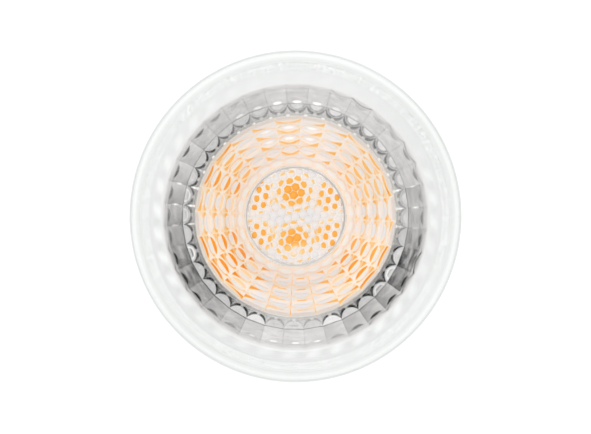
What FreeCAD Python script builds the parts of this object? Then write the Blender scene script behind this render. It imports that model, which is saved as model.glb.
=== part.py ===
import FreeCAD, Part
import math
import os

os.makedirs("parts", exist_ok=True)

# Reflector lamp with a pressed glass body, a moulded collimator lens and a two-stud bayonet base.
# Millimetres. Z is the optical axis and points out of the face; z = 0 is the base's seating face.

# Glass body
face_height = 46.5       # seating face to the top of the rim
rim_radius = 25.0
rim_band = 4.2           # height of the straight band round the mouth
rim_wall = 1.65          # glass beside the front plate
rim_round = 0.7
step_width = 1.25        # ledge that the front plate is glued to
cone_share = 0.2135      # heights of the smooth cone, the facets and the ribs, as shares of the hollow
facet_share = 0.356
rib_share = 0.161
glass_facets = 36
facet_phase = 4.2        # angle of the first corner, in degrees
facet_top_share = 0.808  # radii of the facets' top and foot, as shares of the rim's
facet_foot_share = 0.684
rib_roundness = 0.769    # how far each half-round rib stands in, as a share of half its width
funnel_ledge = 0.15      # from the ribs' crests in to the funnel below them
glass_wall = 1.9
neck_radius = 14.6
neck_wall = 1.6
neck_length = 3.0
bowl_sag = 0.95          # rise of the outer arcs over their chords
flare_sag = 0.45

# Collimator lens
plate_clearance = 0.1
plate_recess = 0.9       # face of the plate below the top of the rim
plate_thickness = 1.6
bead_thickness = 0.3
optic_radius = 15.0
optic_depth = 10.8
optic_foot_radius = 7.75
optic_sectors = 24
sector_phase = 12.0
row_pitch = 1.64         # width of a row of facets, seen along the axis
flank_curve = 0.17       # how much steeper the flank is at its top than on average
cavity_radius = 7.1
cavity_depth = 5.4
dome_sag = 1.7
window_radius = 7.5      # round window of hexagonal lenslets
window_depth = 0.6
lenslet_pitch = 1.22
lenslet_gap = 0.1
lenslet_rise = 0.22
lenslet_top = 0.55       # width of a lenslet's flat top as a share of its foot
lenslet_turn = 16.0

# Light source
optic_foot_gap = 0.25
led_board_radius = 11.6
led_board_thickness = 1.2
led_columns = 3
led_rows = 2
led_pitch_x = 3.6
led_pitch_y = 4.2
led_width = 2.8
led_length = 3.5
led_height = 0.7
led_wall = 0.3
phosphor_depth = 0.45
pad_radius = 8.4
pad_thickness = 0.3

# Heat sink
sink_radius = 12.3
sink_wall = 1.0
sink_plate = 1.6
sink_flange_height = 1.2
sink_flange_clearance = 0.1
screw_circle = 10.15
screw_radius = 0.75
screw_head_radius = 1.2
screw_head_height = 0.8
screw_length = 3.6
screw_clearance = 0.05
drive_width = 0.35
drive_depth = 0.4

# Base
base_floor = 2.0
base_foot_radius = 8.6
base_bevel = 1.8
base_height = 14.0       # seating face to the shoulder that the glass stands on
base_barrel_radius = 10.9
base_barrel_height = 9.6
base_wall = 1.3
cement_gap = 0.4
cement_height = 2.2
collar_wall = 1.0
collar_height = 2.8
collar_round = 0.4
guide_thickness = 1.0
guide_height = 10.0
guide_clearance = 0.05

# Contact studs
stud_spacing = 10.0
stud_length = 7.0
stud_head_radius = 2.5
stud_head_height = 2.8
stud_head_round = 0.35
stud_neck_radius = 1.55
stud_collar_radius = 2.2
stud_collar_height = 0.6
stud_clearance = 0.05
stud_crimp_radius = 2.1
stud_crimp_height = 0.4
stud_bore_radius = 0.7
stud_bore_depth = 5.0

# Driver
board_width = 16.0
board_thickness = 1.2
board_top_gap = 1.4
mount_gap = 0.2          # air under parts that stand off the board
capacitor_radius = 4.0
capacitor_share = 0.643  # its length as a share of the board above the chips
film_size = (4.2, 8.6, 5.6)
choke_share = 0.61       # its diameter as a share of the board above the film capacitor
choke_height = 6.2
choke_flange = 0.9
choke_core_share = 0.436  # core and winding as shares of the choke's radius
winding_share = 0.82
bridge_size = (1.6, 3.9, 4.6)
chip_size = (1.5, 3.9, 4.9)
chip_leg_pitch = 1.27
bridge_leg_pitch = 2.54
leg_width = 0.42
leg_thickness = 0.2
leg_reach = 0.8
chip_legs = 4            # on each side
bridge_legs = 2
fuse_radius = 1.2
fuse_length = 5.0
varistor_share = 0.77    # its diameter as a share of half of the clear board
varistor_thickness = 2.2
leg_radius = 0.3
lead_radius = 0.4
lead_clearance = 0.25
lead_bend = 1.2
stud_lead_height = 5.2   # where the studs' leads meet the driver, over the base's floor
led_lead_offset = 2.6
led_lead_circle = 9.6
led_lead_drop = 8.6      # the leads leave the driver this far under the sink's plate
solder_radius = 1.0
solder_height = 0.55

# Heights worked out from the sizes above
plate_top = face_height - plate_recess
plate_bottom = plate_top - plate_thickness
step_z = plate_bottom - bead_thickness
neck_top_z = base_height + neck_length
hollow_depth = step_z - neck_top_z
facet_top_z = step_z - cone_share * hollow_depth
facet_foot_z = facet_top_z - facet_share * hollow_depth
rib_foot_z = facet_foot_z - rib_share * hollow_depth
optic_foot_z = plate_bottom - optic_depth
led_board_top = optic_foot_z - optic_foot_gap
led_board_bottom = led_board_top - led_board_thickness
sink_top = led_board_bottom - pad_thickness
sink_ceiling = sink_top - sink_plate
board_top = sink_ceiling - board_top_gap
stud_lead_z = base_floor + stud_lead_height

# Radii worked out from the sizes above
mouth_radius = rim_radius - rim_wall
plate_radius = mouth_radius - plate_clearance
step_radius = mouth_radius - step_width
facet_top_radius = facet_top_share * rim_radius
facet_foot_radius = facet_foot_share * rim_radius
rib_crest_radius = facet_foot_radius * (1 - rib_roundness * math.tan(math.pi / glass_facets))
neck_bore = neck_radius - neck_wall
sink_bore = sink_radius - sink_wall
collar_bore = neck_radius + cement_gap
collar_radius = collar_bore + collar_wall
base_bore = base_barrel_radius - base_wall

# The driver's pieces take their places from the board's clear width and height
board_face = board_thickness / 2
board_room = board_width / 2 - guide_thickness
chip_y = board_room / 2
chip_z = stud_lead_z + 2 * lead_radius + chip_size[2] / 2
capacitor_length = capacitor_share * (board_top - chip_z - chip_size[2] / 2)
film_z = base_height - film_size[2] / 5
film_top = film_z + film_size[2] / 2
choke_z = (board_top + film_top) / 2
choke_radius = choke_share * (board_top - film_top) / 2
choke_core_radius = choke_core_share * choke_radius
winding_radius = winding_share * choke_radius
varistor_radius = varistor_share * board_room / 2

origin = FreeCAD.Vector(0, 0, 0)
up = FreeCAD.Vector(0, 0, 1)
along_x = FreeCAD.Vector(1, 0, 0)
along_y = FreeCAD.Vector(0, 1, 0)


def save(shape, node):
    shape.exportStep(f"parts/{node}.step")


def section_point(place):
    return FreeCAD.Vector(place[0], 0, place[1])


def bulge(start, end, sag):
    # The point that an arc from start to end passes, sag to the right of the chord's middle.
    run, rise = end[0] - start[0], end[1] - start[1]
    chord = math.hypot(run, rise)
    return ((start[0] + end[0]) / 2 + sag * rise / chord, (start[1] + end[1]) / 2 - sag * run / chord)


def turned(*steps):
    # A solid turned about Z from its half section. A step is a point, or an arc's middle and end.
    edges = []
    here = section_point(steps[0])
    for step in steps[1:] + steps[:1]:
        if isinstance(step[0], tuple):
            end = section_point(step[1])
            edges.append(Part.Arc(here, section_point(step[0]), end).toShape())
        else:
            end = section_point(step)
            edges.append(Part.LineSegment(here, end).toShape())
        here = end
    return Part.Face(Part.Wire(edges)).revolve(origin, up, 360)


def cylinder(radius, low, high, x=0.0, y=0.0):
    return Part.makeCylinder(radius, high - low, FreeCAD.Vector(x, y, low), up)


def tube(outer, inner, low, high):
    return cylinder(outer, low, high).cut(cylinder(inner, low, high))


def block(size, centre):
    corner = FreeCAD.Vector(*centre) - FreeCAD.Vector(*size) / 2
    return Part.makeBox(*size, corner)


def corners(count, inradius, z, phase):
    # Corners of a regular polygon whose sides touch the circle of that radius.
    reach = inradius / math.cos(math.pi / count)
    turns = [math.radians(phase) + 2 * math.pi * k / count for k in range(count)]
    return [FreeCAD.Vector(reach * math.cos(a), reach * math.sin(a), z) for a in turns]


def faceted(count, phase, rings):
    # A solid with rows of flat facets between regular polygons, each given as (inradius, z).
    loops = [corners(count, radius, z, phase) for radius, z in rings]
    faces = [Part.Face(Part.makePolygon(loop + loop[:1])) for loop in (loops[0], loops[-1])]
    for low, high in zip(loops, loops[1:]):
        for k in range(count):
            after = (k + 1) % count
            outline = [low[k], low[after], high[after], high[k], low[k]]
            faces.append(Part.Face(Part.makePolygon(outline)))
    solid = Part.makeSolid(Part.makeShell(faces))
    if solid.Volume < 0:
        solid.reverse()
    return solid


def rounded_wire(points, bend):
    # Straight runs joined by tangent arcs of one radius, kept within half of the shorter run.
    points = [FreeCAD.Vector(*p) for p in points]
    edges = []
    here = points[0]
    for before, corner, after in zip(points, points[1:], points[2:]):
        arriving = (corner - before).normalize()
        leaving = (after - corner).normalize()
        half_turn = arriving.getAngle(leaving) / 2
        shorter = min((corner - before).Length, (after - corner).Length)
        radius = min(bend, 0.45 * shorter / math.tan(half_turn))
        setback = radius * math.tan(half_turn)
        start = corner - arriving * setback
        end = corner + leaving * setback
        inward = (leaving - arriving).normalize()
        middle = corner + inward * (radius / math.cos(half_turn) - radius)
        edges.append(Part.LineSegment(here, start).toShape())
        edges.append(Part.Arc(start, middle, end).toShape())
        here = end
    edges.append(Part.LineSegment(here, points[-1]).toShape())
    return Part.Wire(edges)


def lead(points, radius, bend):
    path = rounded_wire(points, bend)
    start = FreeCAD.Vector(*points[0])
    direction = (FreeCAD.Vector(*points[1]) - start).normalize()
    ring = Part.Wire(Part.makeCircle(radius, start, direction))
    return path.makePipeShell([ring], True, True)


def glass_body():
    shoulder_radius = facet_foot_radius / math.cos(math.pi / glass_facets) + glass_wall
    rim_foot_z = face_height - rim_band
    rim_foot_radius = rim_radius - rim_wall / 2
    neck_top = (neck_radius, neck_top_z)
    shoulder = (shoulder_radius, rib_foot_z)
    rim_foot = (rim_foot_radius, rim_foot_z)
    inset = rim_round * (1 - math.sqrt(0.5))
    shell = turned(
        (0, base_height),
        (neck_radius, base_height),
        neck_top,
        (bulge(neck_top, shoulder, bowl_sag), shoulder),
        (bulge(shoulder, rim_foot, flare_sag), rim_foot),
        (rim_radius, rim_foot_z + rim_wall / 2),
        (rim_radius, face_height - rim_round),
        ((rim_radius - inset, face_height - inset), (rim_radius - rim_round, face_height)),
        (mouth_radius + rim_round / 2, face_height),
        (mouth_radius, face_height - rim_round / 2),
        (mouth_radius, face_height - rim_round),
        (0, face_height - rim_round),
    )
    mouth = cylinder(mouth_radius, step_z, face_height)
    cone = turned((0, facet_top_z), (facet_top_radius, facet_top_z), (step_radius, step_z), (0, step_z))
    rings = [(facet_foot_radius, facet_foot_z), (facet_top_radius, facet_top_z)]
    facets = faceted(glass_facets, facet_phase, rings)
    funnel = turned(
        (0, base_height),
        (neck_bore, base_height),
        (neck_bore, neck_top_z),
        (rib_crest_radius - funnel_ledge, rib_foot_z),
        (0, rib_foot_z),
    )
    return shell.cut([mouth, cone, facets, ribbed_throat(), funnel])


def ribbed_throat():
    # The hollow between the half-round ribs: a prism whose side is one arc for each facet above it.
    cusps = corners(glass_facets, facet_foot_radius, rib_foot_z, facet_phase)
    edges = []
    for k, cusp in enumerate(cusps):
        middle = math.radians(facet_phase) + 2 * math.pi * (k + 0.5) / glass_facets
        top = FreeCAD.Vector(math.cos(middle), math.sin(middle), 0) * rib_crest_radius + up * rib_foot_z
        edges.append(Part.Arc(cusp, top, cusps[(k + 1) % glass_facets]).toShape())
    return Part.Face(Part.Wire(edges)).extrude(up * (facet_foot_z - rib_foot_z))


def flank_height(radius):
    # Height over the lens's foot of the totally reflecting flank: a line plus a share of a parabola.
    share = (radius - optic_foot_radius) / (optic_radius - optic_foot_radius)
    return optic_depth * ((1 - flank_curve) * share + flank_curve * share ** 2)


def lenslet(x, y, floor_z):
    # A low hexagonal dome with six sloping sides and a flat top, rooted in the window's floor.
    foot = (lenslet_pitch - lenslet_gap) / 2
    rings = [
        (foot, floor_z - lenslet_rise),
        (foot, floor_z),
        (foot * lenslet_top, floor_z + lenslet_rise),
    ]
    dome = faceted(6, lenslet_turn + 30, rings)
    dome.translate(FreeCAD.Vector(x, y, 0))
    return dome


def lenslet_places():
    # Centres of a hexagonal lattice whose cells lie wholly inside the window.
    reach = window_radius - lenslet_pitch / math.sqrt(3)
    count = int(window_radius / lenslet_pitch) + 2
    turn = math.radians(lenslet_turn)
    places = []
    for i in range(-count, count + 1):
        for j in range(-count, count + 1):
            u = lenslet_pitch * (i + j / 2)
            v = lenslet_pitch * j * math.sqrt(3) / 2
            if math.hypot(u, v) < reach:
                x = u * math.cos(turn) - v * math.sin(turn)
                y = u * math.sin(turn) + v * math.cos(turn)
                places.append((x, y))
    return places


def collimator_lens():
    # Front plate, faceted flank, source cavity with a domed ceiling, and the window of lenslets.
    plate = cylinder(plate_radius, plate_bottom, plate_top)
    radii = [optic_foot_radius]
    while radii[-1] + row_pitch < optic_radius:
        radii.append(radii[-1] + row_pitch)
    radii.append(optic_radius)
    rings = [(r, optic_foot_z + flank_height(r)) for r in radii]
    body = plate.fuse(faceted(optic_sectors, sector_phase, rings))
    ceiling = optic_foot_z + cavity_depth
    dome_z = ceiling - dome_sag
    dome_radius = (cavity_radius ** 2 + dome_sag ** 2) / (2 * dome_sag)
    through = cavity_radius / 2
    drop = dome_radius - math.sqrt(dome_radius ** 2 - through ** 2)
    cavity = turned(
        (0, optic_foot_z),
        (cavity_radius, optic_foot_z),
        (cavity_radius, ceiling),
        ((through, dome_z + drop), (0, dome_z)),
    )
    floor_z = plate_top - window_depth
    window = cylinder(window_radius, floor_z, plate_top)
    body = body.cut([cavity, window])
    return body.fuse([lenslet(x, y, floor_z) for x, y in lenslet_places()])


def led_places():
    xs = [led_pitch_x * (i - (led_columns - 1) / 2) for i in range(led_columns)]
    ys = [led_pitch_y * (j - (led_rows - 1) / 2) for j in range(led_rows)]
    return [(x, y) for y in ys for x in xs]


def lead_places():
    reach = math.sqrt(led_lead_circle ** 2 - led_lead_offset ** 2)
    return [(-led_lead_offset, reach), (-led_lead_offset, -reach)]


def screw_places():
    return [(screw_circle, 0.0), (-screw_circle, 0.0)]


def holes(places, radius, low, high):
    return [cylinder(radius, low, high, x, y) for x, y in places]


def led_board():
    disc = cylinder(led_board_radius, led_board_bottom, led_board_top)
    screws = holes(screw_places(), screw_radius + screw_clearance, led_board_bottom, led_board_top)
    leads = holes(lead_places(), lead_radius + lead_clearance, led_board_bottom, led_board_top)
    return disc.cut(screws + leads)


def led_window(x, y):
    # The tapered well in a package that holds the phosphor.
    top = led_board_top + led_height
    low = top - phosphor_depth
    slope = led_wall
    loops = []
    for z, inset in ((low, led_wall + slope), (top, led_wall)):
        half_x, half_y = led_width / 2 - inset, led_length / 2 - inset
        signs = ((1, 1), (-1, 1), (-1, -1), (1, -1), (1, 1))
        loops.append(Part.makePolygon([FreeCAD.Vector(x + half_x * a, y + half_y * b, z) for a, b in signs]))
    return Part.makeLoft(loops, True, True)


def led_package(x, y):
    body = block((led_width, led_length, led_height), (x, y, led_board_top + led_height / 2))
    return body.cut(led_window(x, y))


def heat_sink():
    flange_radius = neck_bore - sink_flange_clearance
    flange_top = base_height + sink_flange_height
    cup = turned(
        (0, sink_ceiling),
        (sink_bore, sink_ceiling),
        (sink_bore, base_height),
        (flange_radius, base_height),
        (flange_radius, flange_top),
        (sink_radius, flange_top),
        (sink_radius, sink_top),
        (0, sink_top),
    )
    screws = holes(screw_places(), screw_radius + screw_clearance / 2, sink_ceiling, sink_top)
    leads = holes(lead_places(), lead_radius + lead_clearance, sink_ceiling, sink_top)
    return cup.cut(screws + leads)


def screw(x, y):
    head_z = led_board_top
    shape = turned(
        (0, head_z - screw_length),
        (screw_radius, head_z - screw_length),
        (screw_radius, head_z),
        (screw_head_radius, head_z),
        (screw_head_radius, head_z + screw_head_height / 2),
        (screw_head_radius / 2, head_z + screw_head_height),
        (0, head_z + screw_head_height),
    )
    slot_z = head_z + screw_head_height - drive_depth / 2
    long_slot = screw_head_radius * 1.2
    slots = [
        block((long_slot, drive_width, drive_depth), (0, 0, slot_z)),
        block((drive_width, long_slot, drive_depth), (0, 0, slot_z)),
    ]
    shape = shape.cut(slots)
    shape.translate(FreeCAD.Vector(x, y, 0))
    return shape


def base_housing():
    bevel_z = base_bevel
    barrel_top = (base_barrel_radius, base_barrel_height)
    collar_foot = (collar_radius, base_height + collar_height / 5)
    collar_top = base_height + collar_height
    shoulder_bore = sink_bore
    floor_radius = base_foot_radius + base_bevel - base_wall
    shape = turned(
        (0, 0),
        (base_foot_radius, 0),
        (base_foot_radius + base_bevel, bevel_z),
        barrel_top,
        (bulge(barrel_top, collar_foot, flare_sag), collar_foot),
        (collar_radius, collar_top - collar_round),
        (collar_radius - collar_round, collar_top),
        (collar_bore, collar_top),
        (collar_bore, base_height),
        (shoulder_bore, base_height),
        (base_bore, base_barrel_height),
        (floor_radius, base_floor),
        (0, base_floor),
    )
    shape = shape.fuse(board_guides())
    bores = holes(stud_places(), stud_neck_radius + stud_clearance, 0, base_floor)
    recesses = holes(stud_places(), stud_collar_radius + stud_clearance, 0, stud_collar_height)
    return shape.cut(bores + recesses)


def board_guides():
    # Two ribs at each side of the bore, which hold the edges of the driver board.
    inner = cylinder(base_foot_radius + base_bevel - base_wall / 2, base_floor / 2, base_floor + guide_height)
    depth = base_bore - board_width / 2 + guide_thickness + base_wall / 2
    slot = board_face + guide_clearance
    ribs = []
    for side in (1, -1):
        for face in (1, -1):
            x = face * (slot + guide_thickness / 2)
            y = side * (board_width / 2 - guide_thickness + depth / 2)
            z = base_floor / 2 + (base_floor / 2 + guide_height) / 2
            size = (guide_thickness, depth, base_floor / 2 + guide_height)
            ribs.append(block(size, (x, y, z)).common(inner))
    return ribs


def stud_places():
    return [(stud_spacing / 2, 0.0), (-stud_spacing / 2, 0.0)]


def stud(x, y):
    # A hollow stud with a round head and a collar let into the base, riveted over inside it.
    tip = -stud_length
    head_top = tip + stud_head_height
    crimp_top = base_floor + stud_crimp_height
    shape = turned(
        (0, tip),
        (stud_head_radius - stud_head_round, tip),
        (stud_head_radius, tip + stud_head_round),
        (stud_head_radius, head_top - stud_head_round / 2),
        (stud_head_radius - stud_head_round / 2, head_top),
        (stud_neck_radius, head_top),
        (stud_neck_radius, 0),
        (stud_collar_radius, 0),
        (stud_collar_radius, stud_collar_height),
        (stud_neck_radius, stud_collar_height),
        (stud_neck_radius, base_floor),
        (stud_crimp_radius, base_floor),
        (stud_crimp_radius, crimp_top),
        (stud_bore_radius, crimp_top),
        (stud_bore_radius, crimp_top - stud_bore_depth),
        (0, crimp_top - stud_bore_depth),
    )
    shape.translate(FreeCAD.Vector(x, y, 0))
    return shape


def driver_board():
    height = board_top - base_floor
    return block((board_thickness, board_width, height), (0, 0, base_floor + height / 2))


def capacitor_can():
    # An electrolytic can with a rolled groove near its rubber end, and two legs bent to the board.
    x = board_face + mount_gap + capacitor_radius
    top = board_top - mount_gap
    low = top - capacitor_length
    groove = capacitor_radius * 0.08
    groove_z = low + capacitor_radius * 0.5
    edge = capacitor_radius * 0.1
    can = turned(
        (0, low),
        (capacitor_radius - edge, low),
        (capacitor_radius, low + edge),
        (capacitor_radius, groove_z - groove),
        (capacitor_radius - groove, groove_z),
        (capacitor_radius, groove_z + groove),
        (capacitor_radius, top - edge),
        (capacitor_radius - edge, top),
        (0, top),
    )
    can.translate(FreeCAD.Vector(x, 0, 0))
    legs = []
    for side in (1, -1):
        y = side * capacitor_radius * 0.45
        foot_z = low - capacitor_radius * 0.35
        route = [(x, y, low + edge), (x, y, foot_z), (board_face, y, foot_z)]
        legs.append(lead(route, leg_radius, lead_bend / 2))
    return can.fuse(legs)


def standing_block(size, face, y, z):
    # A moulded component that stands off one face of the driver board, with bevelled edges.
    x = face * (board_face + mount_gap + size[0] / 2)
    body = block(size, (x, y, z))
    return body.makeChamfer(min(size) * 0.12, body.Edges)


def pin_legs(size, face, y, z, reach):
    # Two straight legs from a component's inner side into contact with the board.
    return [
        Part.makeCylinder(
            leg_radius,
            mount_gap + size[0] / 4,
            FreeCAD.Vector(face * board_face, y, z + side * reach),
            along_x * face,
        )
        for side in (1, -1)
    ]


def film_capacitor():
    legs = pin_legs(film_size, -1, 0, film_z, film_size[2] * 0.3)
    return standing_block(film_size, -1, 0, film_z).fuse(legs)


def surface_chip(size, face, y, z, legs, pitch):
    # A moulded chip with a row of bent legs along each side, soldered flat to the board.
    body = standing_block(size, face, y, z)
    parts = []
    for side in (1, -1):
        for k in range(legs):
            leg_z = z + pitch * (k - (legs - 1) / 2)
            shoulder_x = board_face + mount_gap + size[0] / 2
            arm_y = y + side * (size[1] / 2 + leg_reach / 4)
            arm_size = (leg_thickness, leg_reach / 2 + leg_width, leg_width)
            arm = block(arm_size, (face * shoulder_x, arm_y, leg_z))
            drop_y = y + side * (size[1] / 2 + leg_reach / 2)
            drop_height = shoulder_x - board_face + leg_thickness / 2
            drop_x = face * (board_face + drop_height / 2)
            drop = block((drop_height, leg_thickness, leg_width), (drop_x, drop_y, leg_z))
            foot_y = y + side * (size[1] / 2 + leg_reach * 0.75)
            foot_x = face * (board_face + leg_thickness / 2)
            foot = block((leg_thickness, leg_reach / 2, leg_width), (foot_x, foot_y, leg_z))
            parts += [arm, drop, foot]
    return body.fuse(parts)


def choke_core():
    # A drum core that stands on the board with its axis across it.
    low = board_face
    high = low + choke_height
    core = turned(
        (0, low),
        (choke_radius, low),
        (choke_radius, low + choke_flange),
        (choke_core_radius, low + choke_flange),
        (choke_core_radius, high - choke_flange),
        (choke_radius, high - choke_flange),
        (choke_radius, high),
        (0, high),
    )
    return on_back(core)


def choke_winding():
    low = board_face + choke_flange
    high = board_face + choke_height - choke_flange
    crown = (winding_radius - choke_core_radius) * 0.1
    middle = (low + high) / 2
    turns = turned(
        (choke_core_radius, low),
        (winding_radius, low),
        ((winding_radius + crown, middle), (winding_radius, high)),
        (choke_core_radius, high),
    )
    return on_back(turns)


def on_back(shape):
    # Lays a piece turned about Z across the back face of the board, at the choke's place.
    shape.rotate(origin, along_y, -90)
    shape.translate(FreeCAD.Vector(0, 0, choke_z))
    return shape


def fuse_resistor():
    # A barrel with bulged ends that lies along the board, with both leads bent back to it.
    x = board_face + mount_gap + fuse_radius
    half = fuse_length / 2
    y = board_room - half - 5 * leg_radius
    z = base_floor + stud_crimp_height + 2 * fuse_radius
    waist = fuse_radius * 0.88
    cap = fuse_length * 0.2
    barrel = turned(
        (0, -half),
        (waist, -half),
        (fuse_radius, -half + cap / 2),
        (fuse_radius, -half + cap),
        (waist, -half + cap * 1.4),
        (waist, half - cap * 1.4),
        (fuse_radius, half - cap),
        (fuse_radius, half - cap / 2),
        (waist, half),
        (0, half),
    )
    barrel.rotate(origin, along_x, 90)
    barrel.translate(FreeCAD.Vector(x, y, z))
    legs = []
    for side in (1, -1):
        end = y + side * (half + 3 * leg_radius)
        route = [(x, y + side * half * 0.9, z), (x, end, z), (board_face, end, z)]
        legs.append(lead(route, leg_radius, lead_bend / 2))
    return barrel.fuse(legs)


def varistor():
    # A lacquered disc that stands flat against the back of the board.
    y = varistor_radius + mount_gap - board_room
    z = base_floor + stud_crimp_height + varistor_radius + mount_gap
    start = board_face + mount_gap
    edge = varistor_thickness * 0.25
    disc = turned(
        (0, start),
        (varistor_radius - edge, start),
        (varistor_radius, start + edge),
        (varistor_radius, start + varistor_thickness - edge),
        (varistor_radius - edge, start + varistor_thickness),
        (0, start + varistor_thickness),
    )
    disc.rotate(origin, along_y, -90)
    disc.translate(FreeCAD.Vector(0, y, z))
    legs = []
    for side in (1, -1):
        foot = FreeCAD.Vector(-board_face, y + side * varistor_radius / 2, z)
        legs.append(Part.makeCylinder(leg_radius, mount_gap + edge, foot, -along_x))
    return disc.fuse(legs)


def stud_lead(x):
    # From the stud's bore straight up, then over to the driver board's face.
    side = 1 if x > 0 else -1
    low = base_floor + stud_crimp_height - stud_bore_depth / 2
    route = [(x, 0, low), (x, 0, stud_lead_z), (side * board_face, 0, stud_lead_z)]
    return lead(route, lead_radius, lead_bend)


def led_lead(x, y):
    # From the back of the driver board out past its edge, and up through the sink and the LED board.
    side = 1 if y > 0 else -1
    start_y = side * (board_width / 2 - 2 * lead_radius)
    start_z = sink_ceiling - led_lead_drop
    bend_z = start_z + 2 * abs(y - start_y)
    route = [
        (-board_face, start_y, start_z),
        (x, start_y, start_z),
        (x, y, bend_z),
        (x, y, led_board_top),
    ]
    return lead(route, lead_radius, lead_bend)


def solder_dome(x, y):
    # A low dome of solder over the lead's end.
    sag = solder_height
    radius = (solder_radius ** 2 + sag ** 2) / (2 * sag)
    half = solder_radius / 2
    rise = math.sqrt(radius ** 2 - half ** 2) - (radius - sag)
    z = led_board_top
    dome = turned((0, z), (solder_radius, z), ((half, z + rise), (0, z + sag)))
    dome.translate(FreeCAD.Vector(x, y, 0))
    return dome


save(glass_body(), "glass_body")
save(collimator_lens(), "collimator_lens")
save(tube(plate_radius, step_radius, step_z, plate_bottom), "lens_bead")
save(led_board(), "led_board")
for number, (x, y) in enumerate(led_places(), 1):
    save(led_package(x, y), f"led_package_{number}")
    save(led_window(x, y), f"led_phosphor_{number}")
save(cylinder(pad_radius, sink_top, led_board_bottom), "thermal_pad")
save(heat_sink(), "heat_sink")
for number, (x, y) in enumerate(screw_places(), 1):
    save(screw(x, y), f"board_screw_{number}")
save(base_housing(), "base_housing")
save(tube(collar_bore, neck_radius, base_height, base_height + cement_height), "base_cement")
save(driver_board(), "driver_board")
save(capacitor_can(), "bulk_capacitor")
save(film_capacitor(), "film_capacitor")
save(choke_core(), "choke_core")
save(choke_winding(), "choke_winding")
save(surface_chip(chip_size, 1, -chip_y, chip_z, chip_legs, chip_leg_pitch), "driver_chip")
save(surface_chip(bridge_size, 1, chip_y, chip_z, bridge_legs, bridge_leg_pitch), "bridge_rectifier")
save(fuse_resistor(), "fuse_resistor")
save(varistor(), "varistor")
for number, (x, y) in enumerate(stud_places(), 1):
    save(stud(x, y), f"contact_stud_{number}")
    save(stud_lead(x), f"stud_lead_{number}")
for number, (x, y) in enumerate(lead_places(), 1):
    save(led_lead(x, y), f"led_lead_{number}")
    save(solder_dome(x, y), f"solder_dome_{number}")
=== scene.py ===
import math

import bmesh
import bpy
import numpy as np
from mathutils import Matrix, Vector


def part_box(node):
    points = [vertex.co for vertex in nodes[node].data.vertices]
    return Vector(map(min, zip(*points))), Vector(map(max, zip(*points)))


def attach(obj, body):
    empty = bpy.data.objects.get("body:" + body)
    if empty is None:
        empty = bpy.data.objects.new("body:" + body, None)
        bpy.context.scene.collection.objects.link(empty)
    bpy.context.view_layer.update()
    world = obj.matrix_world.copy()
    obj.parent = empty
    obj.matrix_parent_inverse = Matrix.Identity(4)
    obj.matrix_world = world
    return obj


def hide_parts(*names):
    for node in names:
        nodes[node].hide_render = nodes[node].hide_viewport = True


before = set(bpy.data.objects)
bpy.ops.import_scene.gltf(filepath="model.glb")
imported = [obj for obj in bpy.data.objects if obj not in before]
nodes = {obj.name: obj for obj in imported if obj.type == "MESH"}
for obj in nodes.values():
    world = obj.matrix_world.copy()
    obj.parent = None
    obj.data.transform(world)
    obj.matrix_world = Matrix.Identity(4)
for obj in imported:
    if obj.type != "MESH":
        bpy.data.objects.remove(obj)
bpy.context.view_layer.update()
mm = 0.001
print("frame loaded:", len(nodes), "nodes")

# The lamp stands on its two studs and the camera looks straight down its axis.
# All sizes in the dictionaries are millimetres and degrees, in the frame of the solids.


class Field:
    # A number that varies over a surface. Sums and products of fields become Math nodes.
    def __init__(self, tree, socket):
        self.tree, self.socket = tree, socket

    def calc(self, operation, *others, clamp=False):
        node = self.tree.nodes.new("ShaderNodeMath")
        node.operation = operation
        node.use_clamp = clamp
        for value, socket in zip((self,) + others, node.inputs):
            join(self.tree, value, socket)
        return Field(self.tree, node.outputs[0])

    def __add__(self, other): return self.calc("ADD", other)
    def __radd__(self, other): return self.calc("ADD", other)
    def __sub__(self, other): return self.calc("SUBTRACT", other)
    def __rsub__(self, other): return self.calc("MULTIPLY", -1.0).calc("ADD", other)
    def __mul__(self, other): return self.calc("MULTIPLY", other)
    def __truediv__(self, other): return self.calc("DIVIDE", other)
    def size(self): return self.calc("ABSOLUTE")
    def whole(self): return self.calc("FLOOR")
    def part(self): return self.calc("FRACT")
    def cosine(self): return self.calc("COSINE")
    def sine(self): return self.calc("SINE")
    def square(self): return self.calc("MULTIPLY", self)
    def root(self): return self.calc("SQRT")
    def least(self, other): return self.calc("MINIMUM", other)
    def most(self, other): return self.calc("MAXIMUM", other)
    def held(self): return self.calc("ADD", 0.0, clamp=True)

    def rise(self, low, high):
        # 0 below low, 1 above high and an S-shaped step between; high may be the lower of the two.
        node = self.tree.nodes.new("ShaderNodeMapRange")
        node.interpolation_type = "SMOOTHSTEP"
        for value, socket in zip((self, low, high), node.inputs):
            join(self.tree, value, socket)
        return Field(self.tree, node.outputs[0])

    def bell(self, middle, width):
        # 1 at the middle, falling smoothly to 0 at width to either side.
        return (self - middle).size().rise(width, 0.0)


def join(tree, value, socket):
    if isinstance(value, Field):
        tree.links.new(value.socket, socket)
    elif isinstance(value, bpy.types.NodeSocket):
        tree.links.new(value, socket)
    else:
        socket.default_value = value


def put(tree, kind, **inputs):
    # A node with its inputs joined or set; the output used is its first.
    node = tree.nodes.new("ShaderNode" + kind)
    for name, value in inputs.items():
        join(tree, value, node.inputs[name.replace("_", " ")])
    return node


def colourMix(tree, share, first, second):
    node = tree.nodes.new("ShaderNodeMix")
    node.data_type = "RGBA"
    for value, socket in zip((share, first, second), (node.inputs[0], node.inputs[6], node.inputs[7])):
        join(tree, value if not isinstance(value, tuple) else value + (1.0,), socket)
    return node.outputs[2]


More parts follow.
